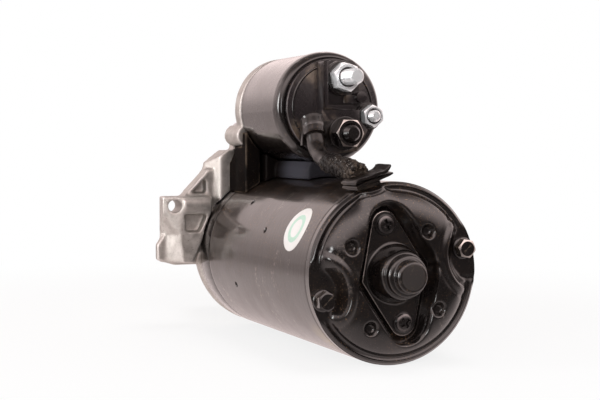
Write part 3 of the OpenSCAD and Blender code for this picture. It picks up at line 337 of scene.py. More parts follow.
def castMetal(name):
    finish, tree, shader, place = newFinish(name, {"Metallic": 0.82, "Specular IOR Level": 0.5})
    edge = addNode(tree, "NewGeometry").outputs["Pointiness"]
    fine = grain(tree, place, 1300, 3.0, 0.7)
    middle = grain(tree, place, 240, 5.0)
    shares = {"patch": spread(tree, grain(tree, place, 30, 3.0), 0.55, 0.8, 0.0, 0.45),
              "pit": spread(tree, fine, 0.6, 0.7, 0.0, 0.7),
              # lighter sharp edges are wear and a painted highlight; darker hollows are painted shade
              "rubbedAndLitEdge": spread(tree, edge, 0.515, 0.58, 0.0, 0.8),
              "paintedHollowShade": spread(tree, edge, 0.40, 0.49, 0.45, 0.0)}
    colour = blendColour(tree, spread(tree, middle, 0.3, 0.7), castTints["grey"], castTints["pale"])
    for tint, share in shares.items():
        colour = blendColour(tree, share, colour, castTints[tint])
    bump = addBump(tree, fine, 0.00018, 0.7, addBump(tree, middle, 0.00035, 0.35))
    finishUp(tree, shader, colour, spread(tree, middle, 0.3, 0.75, 0.40, 0.58), bump)
    return finish


# plain metals: tint, how rough they are, and whether turning marks run round the motor axis
def plainMetal(name, tint, rough=0.25, turned=False, stain=0.25, metallic=1.0, bump=0.45):
    finish, tree, shader, place = newFinish(name, {"Metallic": metallic})
    cloud = grain(tree, place, 130, 5.0)
    marks = grain(tree, place, 60, 3.0, 0.5, (0.5, 30.0, 0.5) if turned else (12.0, 12.0, 12.0))
    dull = tuple(0.45 * c for c in tint)
    colour = blendColour(tree, spread(tree, cloud, 0.5, 0.8, 0.0, stain), tint, dull)
    roughness = spread(tree, times(tree, cloud, marks), 0.1, 0.45, rough * 0.7, rough * 1.5)
    normal = addBump(tree, marks, 0.00003, bump)
    normal = addBump(tree, grain(tree, place, 1500, 2.0), 0.00002, bump, normal)
    finishUp(tree, shader, colour, roughness, normal)
    return finish


# moulded and sintered stuff: tint, roughness and the size of its grain
def moulded(name, tint, rough=0.5, grainScale=900, stain=0.3, depth=0.00006):
    finish, tree, shader, place = newFinish(name, {"Specular IOR Level": 0.45})
    cloud = grain(tree, place, 90, 5.0)
    fine = grain(tree, place, grainScale, 3.0, 0.65)
    dull = tuple(0.55 * c for c in tint)
    colour = blendColour(tree, spread(tree, cloud, 0.4, 0.75, 0.0, stain), tint, dull)
    pale = tuple(1.6 * c for c in tint)
    colour = blendColour(tree, spread(tree, fine, 0.64, 0.72, 0.0, 0.35), colour, pale)
    roughness = spread(tree, cloud, 0.3, 0.75, rough - 0.08, rough + 0.1)
    finishUp(tree, shader, colour, roughness, addBump(tree, fine, depth, 0.5))
    return finish


finishes = {
    "black_enamel": blackPaint("blackEnamel"),
    "cast_aluminium": castMetal("castAluminium"),
    "zinc_steel": plainMetal("brightZinc", (0.9, 0.93, 0.95), 0.2, stain=0.2, metallic=0.55, bump=0.03),
    "steel": plainMetal("turnedSteel", (0.56, 0.56, 0.57), 0.3, turned=True),
    "dark_steel": plainMetal("oiledSteel", (0.16, 0.15, 0.15), 0.38, stain=0.5),
    "copper": plainMetal("copper", (0.78, 0.43, 0.26), 0.3, turned=True, stain=0.5),
    "bronze": plainMetal("sinteredBronze", (0.66, 0.47, 0.24), 0.42),
    # the cap's edges are lightened more, as a painted highlight on its rounded edges
    "black_plastic": blackPaint("sprayedCap", dustAndGlint=0.5, ripple=0.4, lumps=0.10, gloss=0.26,
                                base=(0.016, 0.0125, 0.0135), edgeWearAndHighlight=0.9, edgeWearAndHighlightRange=(0.52, 0.6)),
    "resin": moulded("paleResin", (0.72, 0.67, 0.56), 0.45),
    "brown_resin": moulded("brownResin", (0.2, 0.13, 0.08), 0.55),
    "black_rubber": blackPaint("sprayedRubber", dustAndGlint=0.4, ripple=0.6, lumps=0.08, gloss=0.34, coat=0.25),
    "ferrite": moulded("ferrite", (0.11, 0.11, 0.115), 0.6, 1600),
    "carbon": moulded("carbon", (0.06, 0.055, 0.052), 0.62, 2400),
    # on the braid the pale specks are painted glints on the strands
    "braid": blackPaint("sprayedBraid", dustAndGlint=0.8, ripple=0.6, gloss=0.42, coat=0.04, specular=0.14,
                        dustAndGlintTint=(0.5, 0.47, 0.44)),
}
coverPaint = blackPaint("coverEnamel", dustAndGlint=0.9, ripple=0.55)
oilDrip = {"middle": (-0.029, -0.157, -0.030), "reach": 0.013, "share": 0.3, "tint": (0.36, 0.27, 0.07)}
yokePaint = blackPaint("yokeEnamel", dustAndGlint=0.9, ripple=0.8, gloss=0.28, coat=0.75, base=(0.012, 0.0085, 0.007),
                       scuff=0.8, stain=oilDrip)
# matte black that stands for the shade in dent cores and dimples
dentShadePaint = blackPaint("paintedDentShade", dustAndGlint=0.2, gloss=0.55, coat=0.05)
shinyBlack = blackPaint("polishedScrew", dustAndGlint=0.1, ripple=0.25, gloss=0.16)
# bare metal on edges: rubbed on the right bolt, a painted highlight on the nut and the end cap's plate
bareEdgeAndHighlight = plainMetal("bareEdgeAndHighlight", (0.6, 0.56, 0.53), 0.35)
ringPaint = blackPaint("dustyRing", dustAndGlint=2.4, ripple=0.7)
rubbedTip = blackPaint("rubbedTip", dustAndGlint=0.9, lumps=0.45, gloss=0.35, coat=0.5, base=(0.032, 0.028, 0.027))
sleevePaint = blackPaint("shrunkSleeve", dustAndGlint=0.3, gloss=0.26, coat=0.4)
slotOf = {part["node"]: part["material_slot"] for part in frame["record"]["subparts"]}
for nodeName, cadPiece in cadNodes.items():
    cadPiece.data.materials.clear()
    cadPiece.data.materials.append(finishes[slotOf[nodeName]])
# on the seal a lighter bluish spot over the ledge is a painted sheen, and its edges are lightened as a
# painted highlight
paintedLedgeSheen = {"middle": (-0.010, -0.076, 0.048), "reach": 0.03, "share": 0.9, "tint": (0.05, 0.05, 0.06)}
matteSeal = blackPaint("mattedSeal", dustAndGlint=0.2, gloss=0.35, coat=0.05, specular=0.0, edgeWearAndHighlight=0.7,
                       edgeWearAndHighlightRange=(0.51, 0.56), stain=paintedLedgeSheen)
cadNodes["lever_seal"].data.materials[0] = matteSeal
print("finishes made:", len(finishes))


# camera, floor, world and lamps
viewSet = {"place": (-0.2634, -0.6954, 0.0586), "turn": -22.31, "lift": 2.43, "lens": 78.0, "sensor": 36.0}


def addCamera():
    v = viewSet
    camera = bpy.data.objects.new("photoCamera", bpy.data.cameras.new("photoCamera"))
    camera.data.lens = v["lens"]
    camera.data.sensor_width = v["sensor"]
    camera.data.clip_start = 0.01
    turn, lift = math.radians(v["turn"]), math.radians(v["lift"])
    back = Vector((math.sin(turn) * math.cos(lift), -math.cos(turn) * math.cos(lift), math.sin(lift)))
    camera.rotation_euler = back.to_track_quat("Z", "Y").to_euler()
    camera.location = v["place"]
    scene.collection.objects.link(camera)
    scene.camera = camera


floorSet = {"height": -0.0422, "half": 6.0, "white": 0.9, "glow": 0.82, "shadowReach": 0.42, "dimFrom": -0.14,
            "dimTo": -0.24, "dim": 0.1, "farFrom": -0.02, "farTo": 0.45, "far": 0.6}
mirrorTint = (1.0, 0.835, 0.81)  # what the paint mirrors is a little warm


def addFloor():
    v = floorSet
    half, z, white = v["half"], v["height"], v["white"]
    mesh = bpy.data.meshes.new("studioFloor")
    corners = [(-half, -half, z), (half, -half, z), (half, half, z), (-half, half, z)]
    mesh.from_pydata(corners, [], [(0, 1, 2, 3)])
    floor = bpy.data.objects.new("studioFloor", mesh)
    scene.collection.objects.link(floor)
    finish = bpy.data.materials.new("paperWhite")
    finish.use_nodes = True
    tree = finish.node_tree
    tree.nodes.clear()
    place = addNode(tree, "TexCoord").outputs["Object"]
    rays = addNode(tree, "LightPath").outputs
    fleck = grain(tree, place, 300, 3.0)
    paper = addNode(tree, "BsdfDiffuse", Color=blendColour(
        tree, fleck, (white, white, white), (white + 0.02, white + 0.02, white + 0.015)))
    ahead = splitAxes(tree, place)["Y"]
    mirrored = times(tree, spread(tree, ahead, v["dimTo"], v["dimFrom"], v["dim"], 1.0),
                     spread(tree, ahead, v["farFrom"], v["farTo"], 1.0, v["far"]))
    glow = addNode(tree, "Emission", blendColour(tree, rays["Is Camera Ray"], mirrorTint, (1, 1, 1)),
                   calc(tree, "MAXIMUM", mirrored, rays["Is Camera Ray"]))
    seen = calc(tree, "MAXIMUM", rays["Is Camera Ray"], rays["Is Glossy Ray"])
    seen = calc(tree, "MAXIMUM", seen, rays["Is Transmission Ray"])
    share = spread(tree, distanceTo(tree, place), 0.1, v["shadowReach"], v["glow"], 1.0)
    mix = addNode(tree, "MixShader", times(tree, seen, share), paper.outputs[0], glow.outputs[0])
    addNode(tree, "OutputMaterial", mix.outputs[0])
    mesh.materials.append(finish)


worldSet = {"fill": 0.4, "front": 0.12, "panel": 2.2, "panelLow": (0.02, 0.62), "panelHigh": (0.72, 0.95),
            "ceiling": 0.3, "horizon": 0.75, "above": 1.3, "whiteLow": (0.02, 0.25),
            "whiteHigh": (0.46, 0.8), "turn": (-0.42, 0.15)}


def addWorld():
    # a white room behind the motor, a dark one in front with a soft panel above the camera
    v = worldSet
    world = bpy.data.worlds.new("studio")
    scene.world = world
    world.use_nodes = True
    tree = world.node_tree
    background = tree.nodes["Background"]
    rays = addNode(tree, "LightPath").outputs
    way = splitAxes(tree, addNode(tree, "TexCoord").outputs["Generated"])
    behind, up = spread(tree, way["Y"], *v["turn"]), way["Z"]
    white = calc(tree, "MINIMUM", spread(tree, up, *v["whiteLow"], v["horizon"], v["above"]),
                 spread(tree, up, *v["whiteHigh"], v["above"], v["ceiling"]))
    dark = calc(tree, "MINIMUM", spread(tree, up, *v["panelLow"], v["front"], v["panel"]),
                spread(tree, up, *v["panelHigh"], v["panel"], v["ceiling"]))
    level = calc(tree, "ADD", times(tree, white, behind),
                 times(tree, dark, calc(tree, "SUBTRACT", 1.0, behind)))
    mirrored = calc(tree, "MAXIMUM", rays["Is Glossy Ray"], rays["Is Transmission Ray"])
    level = calc(tree, "ADD", times(tree, level, mirrored),
                 times(tree, v["fill"], calc(tree, "SUBTRACT", 1.0, mirrored)))
    level = calc(tree, "MAXIMUM", level, rays["Is Camera Ray"])
    tint = blendColour(tree, rays["Is Camera Ray"], mirrorTint, (1, 1, 1))
    tree.links.new(tint, background.inputs["Color"])
    tree.links.new(level, background.inputs["Strength"])


lampSet = {
    "leftSoftbox": {"place": (-1.0, 0.12, 0.2), "size": (0.42, 0.7), "power": 5.0, "mirrored": True},
    "topSoftbox": {"place": (0.15, -0.1, 1.0), "size": (0.7, 0.7), "power": 4.0, "mirrored": False},
    "cornerSoftbox": {"place": (-0.9, -0.75, 0.16), "size": (0.3, 0.6), "power": 1.6, "mirrored": True},
    "frontFill": {"place": (-0.5, -1.5, 0.6), "size": (1.2, 1.2), "power": 11.5, "mirrored": False},
}
lampAim = Vector((0, -0.06, 0.03))  # the middle of the motor


def addLamps():
    for name, lamp in lampSet.items():
        light = bpy.data.lights.new(name, "AREA")
        light.shape = "RECTANGLE"
        light.size, light.size_y = lamp["size"]
        light.energy = lamp["power"]
        light.use_nodes = True
        tree = light.node_tree
        across = splitAxes(tree, addNode(tree, "NewGeometry").outputs["Parametric"])
        fade = 1.0
        for side in ("X", "Y"):  # the cloth of a softbox fades towards its edges
            away = calc(tree, "ABSOLUTE", calc(tree, "SUBTRACT", across[side], 0.5))
            fade = times(tree, fade, spread(tree, away, 0.05, 0.5, 1.8, 0.0))
        tree.links.new(fade, tree.nodes["Emission"].inputs["Strength"])
        lightPiece = bpy.data.objects.new(name, light)
        lightPiece.location = lamp["place"]
        lightPiece.visible_glossy = lamp["mirrored"]
        aim = lampAim - Vector(lamp["place"])
        lightPiece.rotation_euler = aim.to_track_quat("-Z", "Y").to_euler()
        scene.collection.objects.link(lightPiece)


addCamera()
addFloor()
addWorld()
addLamps()
print("camera, floor, world and lamps set")


# edges of the carried-over solids
edgeSet = {"gear_case": 0.4, "solenoid_flange": 0.4, "solenoid_cap": 0.65, "lead_lug": 0.45, "pinion": 0.35,
           "stop_collar": 0.3, "drive_shaft": 0.3, "solenoid_screws": 0.4, "clutch_shell": 0.3}


def softenEdges():
    for name, width in edgeSet.items():
        piece = cadNodes[name]
        weld = piece.modifiers.new("joinSeams", "WELD")
        weld.merge_threshold = 2e-6
        bevel = piece.modifiers.new("softEdges", "BEVEL")
        bevel.width = width * mm
        bevel.segments = 3
        bevel.limit_method = "ANGLE"
        bevel.angle_limit = math.radians(40)
        bevel.harden_normals = True
        piece.data.shade_smooth()


roundingSet = {"drive_housing": (0.75, 0.5, 5), "lever_seal": (0.7, 0.5, 4)}  # cell, pull and passes


def roundCastings():
    for name, (cell, pull, passes) in roundingSet.items():
        piece = cadNodes[name]
        remesh = piece.modifiers.new("evenSkin", "REMESH")
        remesh.mode = "VOXEL"
        remesh.voxel_size = cell * mm
        remesh.use_smooth_shade = True
        smooth = piece.modifiers.new("castRounding", "SMOOTH")
        smooth.factor = pull
        smooth.iterations = passes


softenEdges()
roundCastings()
print("solids softened")


# rear cover: one pressed sheet, drawn as a height over the rim at each radius and angle
coverSet = {
    "rimY": -166.0, "frontY": -162.0, "rimR": 42.0, "innerR": 8.7, "sheet": 1.8, "solidFrom": 39.3,
    "rings": 130, "rimFrom": 38.0, "rimRings": 40, "steps": 480, "softPasses": 3,
    "domeHeight": 7.0, "crestR": 25.5, "footR": 37.6, "foot": 0.7, "spout": 6.0, "spoutHalf": 9.0,
    "rimBead": (0.65, 40.4, 0.55), "rimGroove": (-0.3, 38.7, 0.5), "rimDrop": 1.0, "rimDropFrom": 41.0,
    "dents": [(54, 24.0), (151, 27.0), (239, 27.8), (320.5, 26.0)],  # angle and radius
    "dentR": 4.0, "dentDepth": 2.9, "dentFlat": 0.35, "dentCore": 1.9, "coreShift": 0.5, "coreFrom": 1.0,
    "boltAngle": 17.0, "pocketR": 13.2, "pocketAt": 42.0, "pocketTurn": -5.5, "pocketWall": (-1.5, 4.5),
    "pocketInside": (39.5, 36.0), "pocketRidge": (0.35, 5.2, 1.6), "pocketGroove": (-0.6, 7.6, 1.3),
    "crease": (-0.55, -3.2, 0.9), "creaseFrom": (27, 31),
    "floor": -1.5, "recess": (-0.2, 5.2), "capTilt": 11.7,
    "notchAngle": 106.0, "notchHalf": 5.5, "notchDip": 0.9, "notchFrom": 33,
}
plateRounds = [(0, 23.0, 6.4), (0, -23.0, 6.4), (14.8, 0, 1.5), (-14.8, 0, 1.5)]  # middle and radius


def capDistance(x, z):
    # how far a point lies outside the diamond plate, which is the hull of four rounds
    angles = np.radians(np.arange(0, 360, 1.0))
    support = np.max([cx * np.cos(angles) + cz * np.sin(angles) + r for cx, cz, r in plateRounds], axis=0)
    u, w = turnedBack(x, z, coverSet["capTilt"])
    far = np.full(np.shape(x), -1e9)
    for angle, reach in zip(angles, support):
        far = np.maximum(far, u * math.cos(angle) + w * math.sin(angle) - reach)
    return far


def notchTurn(a):
    return (np.degrees(a) - coverSet["notchAngle"] + 180) % 360 - 180


def domeRise(out):
    # level at its crest and steep at its foot
    return coverSet["domeHeight"] * (1 - out ** 2) ** coverSet["foot"]


def coverHeight(r, a):
    v = coverSet
    x, z = r * np.cos(a), r * np.sin(a)
    foot = v["footR"] + ridge(notchTurn(a), v["spout"], 0, v["spoutHalf"])  # a spout runs out to the notch
    height = domeRise(np.clip((r - v["crestR"]) / (foot - v["crestR"]), 0, 1))
    height += ridge(r, *v["rimBead"]) + ridge(r, *v["rimGroove"])
    height -= v["rimDrop"] * stepSmooth(v["rimDropFrom"], v["rimR"], r)
    for turnTo, reach in v["dents"]:  # round dents beside the plate, level at the bottom
        dentX, dentZ = spotAt(reach, turnTo)
        pressed = 1 - stepSmooth(v["dentFlat"], 1.0, np.hypot(x - dentX, z - dentZ) / v["dentR"])
        level = domeRise((reach - v["crestR"]) / (v["footR"] - v["crestR"])) - v["dentDepth"]
        height += (level - height) * pressed
    outside = 1e9
    for half in (0, 180):  # pockets round the two through bolts
        pocketX, pocketZ = spotAt(v["pocketAt"], v["boltAngle"] + half + v["pocketTurn"])
        outside = np.minimum(outside, np.hypot(x - pocketX, z - pocketZ) - v["pocketR"])
    inPocket = stepSmooth(*v["pocketWall"], outside)
    inside = stepSmooth(*v["pocketInside"], r)
    height = height * inPocket + ridge(outside, *v["pocketRidge"]) * inside
    height += ridge(outside, *v["pocketGroove"]) * inside
    height += ridge(z, *v["crease"]) * (1 - inPocket) * stepSmooth(*v["creaseFrom"], x)
    inRecess = stepSmooth(*v["recess"], capDistance(x, z))
    return v["floor"] + (height - v["floor"]) * inRecess


def addRearCover():
    v = coverSet
    radii = np.concatenate([np.linspace(v["innerR"], v["rimFrom"], v["rings"]),
                            np.linspace(v["rimFrom"], v["rimR"], v["rimRings"] + 1)[1:]])
    angles = np.linspace(0, 2 * math.pi, v["steps"], endpoint=False)
    r, a = np.meshgrid(radii, angles, indexing="ij")
    height = coverHeight(r, a)
    notch = v["notchDip"] * np.exp(-(notchTurn(a) / v["notchHalf"]) ** 4)
    r = r - notch * stepSmooth(v["notchFrom"], v["rimR"], r)
    for _ in range(v["softPasses"]):  # the sheet can't hold a sharp crease
        height = 0.5 * height + 0.25 * (np.roll(height, 1, 1) + np.roll(height, -1, 1))
        height[1:-1] = 0.5 * height[1:-1] + 0.25 * (height[:-2] + height[2:])
    outerY = v["rimY"] - height
    innerY = np.where(r < v["solidFrom"], np.minimum(outerY + v["sheet"], v["frontY"]), v["frontY"])
    outerSkin = np.stack([r * np.cos(a), outerY, r * np.sin(a)], -1)
    innerSkin = np.stack([r * np.cos(a), innerY, r * np.sin(a)], -1)
    rings = np.concatenate([outerSkin, innerSkin[::-1]])
    faces = ringFaces(len(rings), v["steps"], loop=True)
    piece = makePiece("rearCover", rings.reshape(-1, 3).tolist(), faces, coverPaint, "black_enamel", sharp=60)
    middles = [spotAt(reach, turnTo) for turnTo, reach in v["dents"]]
    cores = [(x - v["coreShift"], z - v["coreShift"]) for x, z in middles]
    # dent cores in matte black: painted shade
    paintFaces(piece, dentShadePaint, lambda c, n: c.y < v["rimY"] - v["coreFrom"]
               and any(awayFrom(core, c) < v["dentCore"] for core in cores))
    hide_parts("rear_cover")


# end cap: diamond plate that runs up into a stepped bush cup
cupSet = {"tipY": -186.0, "plateY": -166.0, "backY": -164.5, "steps": 240, "tipR": 5.7, "plateFrom": 14.0,
          "plateRows": 13, "plateEdge": 0.5, "boreR": 8.9, "soft": 0.6,
          "outline": [(0, 0), (5.7, 0.02), (6.6, 0.3), (7.2, 0.9), (7.45, 1.8), (7.6, 4.4), (8.7, 4.7),
                      (9.4, 5.2), (9.7, 6.0), (9.8, 8.3), (10.4, 8.6), (11.0, 9.3), (11.6, 10.8),
                      (12.1, 13.0), (12.5, 16.0), (12.9, 18.8), (14.0, 20.0)],  # radius and way down
          "bevel": [(0.28, 0.06), (0.1, 0.2), (0.02, 0.42), (0.0, 0.7)]}  # inset and drop


def addEndCap():
    v = cupSet
    cup = softOutline(v["outline"], v["soft"], 5)
    angles = np.linspace(0, 2 * math.pi, v["steps"], endpoint=False)
    edge = np.full(v["steps"], 10.0)
    for step in (8.0, 4.0, 2.0, 1.0, 0.5, 0.25, 0.1, 0.05, 0.02):  # walk out to the plate's edge
        for _ in range(12):
            trial = edge + step
            inside = capDistance(trial * np.cos(angles), trial * np.sin(angles)) < 0
            edge = np.where(inside, trial, edge)
    points = []
    for rp, yp in cup:
        points += [roundPoint(rp, a, v["tipY"] + yp) for a in angles]
    start = v["plateFrom"]
    for share in np.linspace(0, 1, v["plateRows"] + 1)[1:]:
        reach = start + share * (np.maximum(edge - v["plateEdge"], start + 0.1) - start)
        points += [roundPoint(q, a, v["plateY"]) for q, a in zip(reach, angles)]
    for inset, drop in v["bevel"] + [(0.0, v["backY"] - v["plateY"])]:
        points += [roundPoint(q - inset, a, v["plateY"] + drop) for q, a in zip(edge, angles)]
    points += [roundPoint(v["boreR"], a, v["backY"]) for a in angles]
    faces = ringFaces(len(points) // v["steps"], v["steps"], closeLast=True)
    piece = makePiece("endCap", points, faces, coverPaint, "black_enamel", sharp=50)
    paintFaces(piece, rubbedTip, lambda c, n: c.y < v["tipY"] + 0.15 and math.hypot(c.x, c.z) < v["tipR"])
    paintFaces(piece, bareEdgeAndHighlight, lambda c, n: -0.98 < n.y < -0.35  # the plate's bevel, bare metal for a painted highlight line round the plate
               and v["plateY"] < c.y < v["plateY"] + 0.5 and math.hypot(c.x, c.z) > start + 0.2)
    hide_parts("end_cap")


# screws of the end cap: round heads on washers, with a cross slot
capScrewSet = {"gap": 23.0, "seatY": -166.0, "steps": 72, "turns": (20, 38), "headR": 4.2, "crown": 2.7,
               "crownDrop": 0.9, "slotHalf": 0.55, "slotLong": 2.4, "slotDepth": 1.5,
               "slotEdge": (0.25, -0.15), "bareFrom": 1.9, "edgeRows": [3.5, 3.8, 4.0, 4.15],
               "skirt": [(4.2, 1.4), (4.2, 0.8), (4.5, 0.72), (5.0, 0.65), (5.1, 0.5), (5.1, 0.0), (2.0, 0.0),
                         (2.0, -3.5)]}  # radius and rise, down over the washer to the shank


def addCapScrews():
    v = capScrewSet
    shapes = []
    for side, turn in zip((0, 180), v["turns"]):
        centre = spotAt(v["gap"], 90 + coverSet["capTilt"] + side)
        points = []
        for r in list(np.linspace(0.05, 3.2, 26)) + v["edgeRows"]:
            for a in turnSteps(v["steps"]):
                u, w = (abs(q) for q in turnedBack(r * math.cos(a), r * math.sin(a), turn))
                cross = min(max(u - v["slotHalf"], w - v["slotLong"]),
                            max(w - v["slotHalf"], u - v["slotLong"]))
                rise = v["crown"] - v["crownDrop"] * (r / v["headR"]) ** 3
                rise -= v["slotDepth"] * float(stepSmooth(*v["slotEdge"], cross))
                points.append(roundPoint(r, a, v["seatY"] - rise, centre))
        for r, rise in v["skirt"]:
            points += [roundPoint(r, a, v["seatY"] - rise, centre) for a in turnSteps(v["steps"])]
        rings = len(points) // v["steps"]
        shapes.append((points, ringFaces(rings, v["steps"], closeFirst=True, closeLast=True)))
    piece = makePiece("capScrews", *joinShapes(*shapes), shinyBlack, "black_enamel", sharp=45)
    paintFaces(piece, finishes["dark_steel"], lambda c, n: -0.93 < n.y < -0.55  # bare steel on the edges of the slots, for rubbing and for painted glints
               and c.y < v["seatY"] - v["bareFrom"])
    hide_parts("cap_screws")


# hexagons of bolts and nuts
hexSet = {"steps": 96, "slope": 0.58, "hubR": 0.02, "sinkWide": 1.1, "sinkDepth": 1.3, "dishShare": 0.5,
          "dishRim": 0.15, "dishDepth": 0.2}


def hexHead(centre, seatY, height, flats, boreR=0.0, turn=0.0, bothEnds=False, chamfer=0.97):
    # along the motor axis with the corners chamfered, rising to the rear from seatY
    v = hexSet
    angles = turnSteps(v["steps"])
    chamferR, hubR = flats / 2 * chamfer, max(boreR, v["hubR"])
    reach = [flats / 2 / math.cos((a + math.pi / 6) % (math.pi / 3) - math.pi / 6) for a in angles]
    loss = [max(0.0, (q - chamferR) * v["slope"]) for q in reach]

    def evenRow(r, y):
        return [(r, y)] * v["steps"]

    rows = [evenRow(hubR, 0.0)]
    if bothEnds:
        rows += [evenRow(chamferR, 0.0), list(zip(reach, loss))]
    else:
        rows.append([(q, 0.0) for q in reach])
    rows += [[(q, height - d) for q, d in zip(reach, loss)], evenRow(chamferR, height)]
    if boreR:  # countersunk
        rows += [evenRow(boreR + v["sinkWide"], height), evenRow(hubR, height - v["sinkDepth"])]
    else:  # a shallow dish
        rows += [evenRow(v["dishShare"] * chamferR, height - v["dishRim"]),
                 evenRow(hubR, height - v["dishDepth"])]
    points = []
    for row in rows:
        points += [roundPoint(r, a + turn, seatY - y, centre) for (r, y), a in zip(row, angles)]
    return points, ringFaces(len(rows), v["steps"], loop=True)


# through bolts: flanged hexagon heads in the pockets, one with its corners rubbed bare
boltSet = {"angle": 17.0, "orbit": 36.7, "r": 2.5, "seatY": -166.0, "frontY": -2.5, "flats": 8.0,
           "headH": 4.5, "headFrom": 1.2, "turns": {0: 0.35, 180: 0.1}, "chamfer": 0.86, "bareFrom": 3.0,
           "flange": [(0.02, 1.6), (4.2, 1.5), (5.2, 0.9), (5.2, 0.0), (2.5, 0.0)]}  # radius and rise


def addThroughBolts():
    v = boltSet
    seat = v["seatY"]
    for name, side in (("throughBoltRight", 0), ("throughBoltLeft", 180)):
        centre = spotAt(v["orbit"], v["angle"] + side)
        outline = [(r, seat - rise) for r, rise in v["flange"]] + [(v["r"], v["frontY"]), (0.02, v["frontY"])]
        shank = turnedShape(softOutline(outline, 0.4, 3), centre, 64)
        head = hexHead(centre, seat - v["headFrom"], v["headH"], v["flats"], turn=v["turns"][side],
                       chamfer=v["chamfer"])
        piece = makePiece(name, *joinShapes(shank, head), shinyBlack, "dark_steel", sharp=30)
        if side == 0:  # its corners are rubbed bare
            paintFaces(piece, bareEdgeAndHighlight, lambda c, n: -0.97 < n.y < -0.4 and c.y < seat - v["bareFrom"])
        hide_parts("through_bolts")


# yoke: drawn tube with small staking dimples
yokeSet = {"r": 42.0, "boreR": 39.5, "rearY": -162.0, "frontY": -25.0, "edge": 0.5, "rowStep": 2.5,
           "turnStep": 1.5, "nearRows": (3.0, 0.3), "nearTurns": (4.0, 0.4),  # reach and step
           "stakes": [(-63.6, 136.5), (-63.9, 198.6), (-102.3, 156.2)],  # station and angle
           "stakeR": 1.9, "stakeBowl": 1.6, "stakeDepth": 1.0}


def addYoke():
    v = yokeSet
    rows = list(np.arange(v["rearY"] + 2, v["frontY"] - 1, v["rowStep"]))
    turns = list(np.arange(0, 360, v["turnStep"]))
    for y, a in v["stakes"]:  # finer rows near the dimples
        for values, middle, (span, step) in ((rows, y, v["nearRows"]), (turns, a, v["nearTurns"])):
            values += list(np.arange(middle - span, middle + span, step))
    rows, turns = sorted({round(y, 2) for y in rows}), sorted({round(a, 2) for a in turns})
    lip = [(v["boreR"], v["rearY"]), (v["r"] - v["edge"], v["rearY"]), (v["r"] - 0.15, v["rearY"] + 0.15),
           (v["r"], v["rearY"] + v["edge"])]
    outline = lip + [(v["r"], y) for y in rows]
    outline += [(r, v["frontY"] + v["rearY"] - y) for r, y in reversed(lip)]
    points = []
    for r, y in outline:
        for a in turns:
            dip = 0.0
            for stakeY, stakeA in v["stakes"]:
                gap = math.hypot(y - stakeY, math.radians(a - stakeA) * v["r"])
                if gap < v["stakeR"] and r == v["r"]:
                    dip = max(dip, v["stakeDepth"] * (1 - (gap / v["stakeBowl"]) ** 2))
            points.append(roundPoint(r - dip, math.radians(a), y))
    faces = ringFaces(len(outline), len(turns), loop=True)
    piece = makePiece("yokeTube", points, faces, yokePaint, "black_enamel", sharp=40)
    paintFaces(piece, dentShadePaint, lambda c, n: v["boreR"] + 0.8 < math.hypot(c.x, c.z) < v["r"] - 0.25
               and v["rearY"] + 5 < c.y < v["frontY"] - 5)  # the dimples, in matte black as painted shade
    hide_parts("yoke")


addYoke()
addRearCover()
addEndCap()
addCapScrews()
addThroughBolts()
print("rear cover, end cap and bolts made")


# solenoid can with a rolled edge, and the sealing ring inside it
canSet = {"centre": (0.0, 77.4), "frontY": -41.0, "rearY": -93.4, "r": 28.1, "collarR": 28.5, "boreR": 26.1,
          "collarY": -85.0, "crimps": 12, "crimpTurn": 0.35, "crimpHalf": 0.06, "crimpDepth": 0.22,
          "crimpFrom": 27.5, "crimpBack": 4.0, "crimpLong": 1.6,
          "rolledEdge": [(0.0, 5.6), (0.35, 3.4), (1.1, 1.5), (2.3, 0.3), (3.2, 0.0), (3.8, 0.5),
                         (3.85, 1.0)],  # inset, and way before the rear
          "sealRing": [(24.5, -93.2), (24.3, -94.6), (23.7, -95.4), (22.9, -95.7), (22.2, -96.6),
                       (21.6, -97.1), (20.9, -96.9), (20.6, -96.2), (20.6, -93.2)]}


def addSolenoidCan():
    v = canSet
    outline = [(v["boreR"], v["frontY"]), (v["r"] - 0.3, v["frontY"]), (v["r"], v["frontY"] - 0.4),
               (v["r"], v["collarY"]), (v["collarR"], v["collarY"] - 0.7)]
    outline += [(v["collarR"] - inset, v["rearY"] + before) for inset, before in v["rolledEdge"]]
    outline += [(v["boreR"], v["rearY"] + 1.0), (v["boreR"], v["frontY"])]

    def crimp(a, r, y):
        turn = (math.degrees(a) * v["crimps"] / 360 + v["crimpTurn"]) % 1 - 0.5
        station = ridge(y, 1.0, v["collarY"] - v["crimpBack"], v["crimpLong"])
        return ridge(turn, -v["crimpDepth"], 0, v["crimpHalf"]) * float(r > v["crimpFrom"]) * station

    piece = makePiece("solenoidCan", *turnedShape(softOutline(outline, 0.6, 4), v["centre"], 180, crimp),
                      finishes["black_enamel"], "black_enamel", sharp=50)
    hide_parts("solenoid_can")
    seal = turnedShape(softOutline(v["sealRing"], 0.5, 3), v["centre"], 144)
    makePiece("capSealRing", *seal, ringPaint, "black_rubber", sharp=60)


# terminal studs with real threads, their nuts and washers
studSet = {
    "battery_stud": {"piece": "batteryThread", "centre": (2.5, 92.0), "r": 4.0, "pitch": 1.25, "tipY": -121.0,
                     "rootY": -91.1, "finish": "zinc_steel", "headR": 6.0},
    "motor_stud": {"piece": "motorThread", "centre": (2.0, 64.3), "r": 4.0, "pitch": 1.25, "tipY": -118.0,
                   "rootY": -91.1, "finish": "black_enamel", "headR": 6.0},
    "trigger_stud": {"piece": "triggerThread", "centre": (19.0, 73.0), "r": 3.0, "pitch": 1.0, "tipY": -108.0,
                     "rootY": -91.1, "finish": "zinc_steel", "headR": 3.8},
}


threadSet = {"steps": 48, "rowsPerTurn": 10, "crest": 0.07, "flank": 0.31, "deep": 0.4, "tipTaper": 1.1,
             "headThick": 2.5}


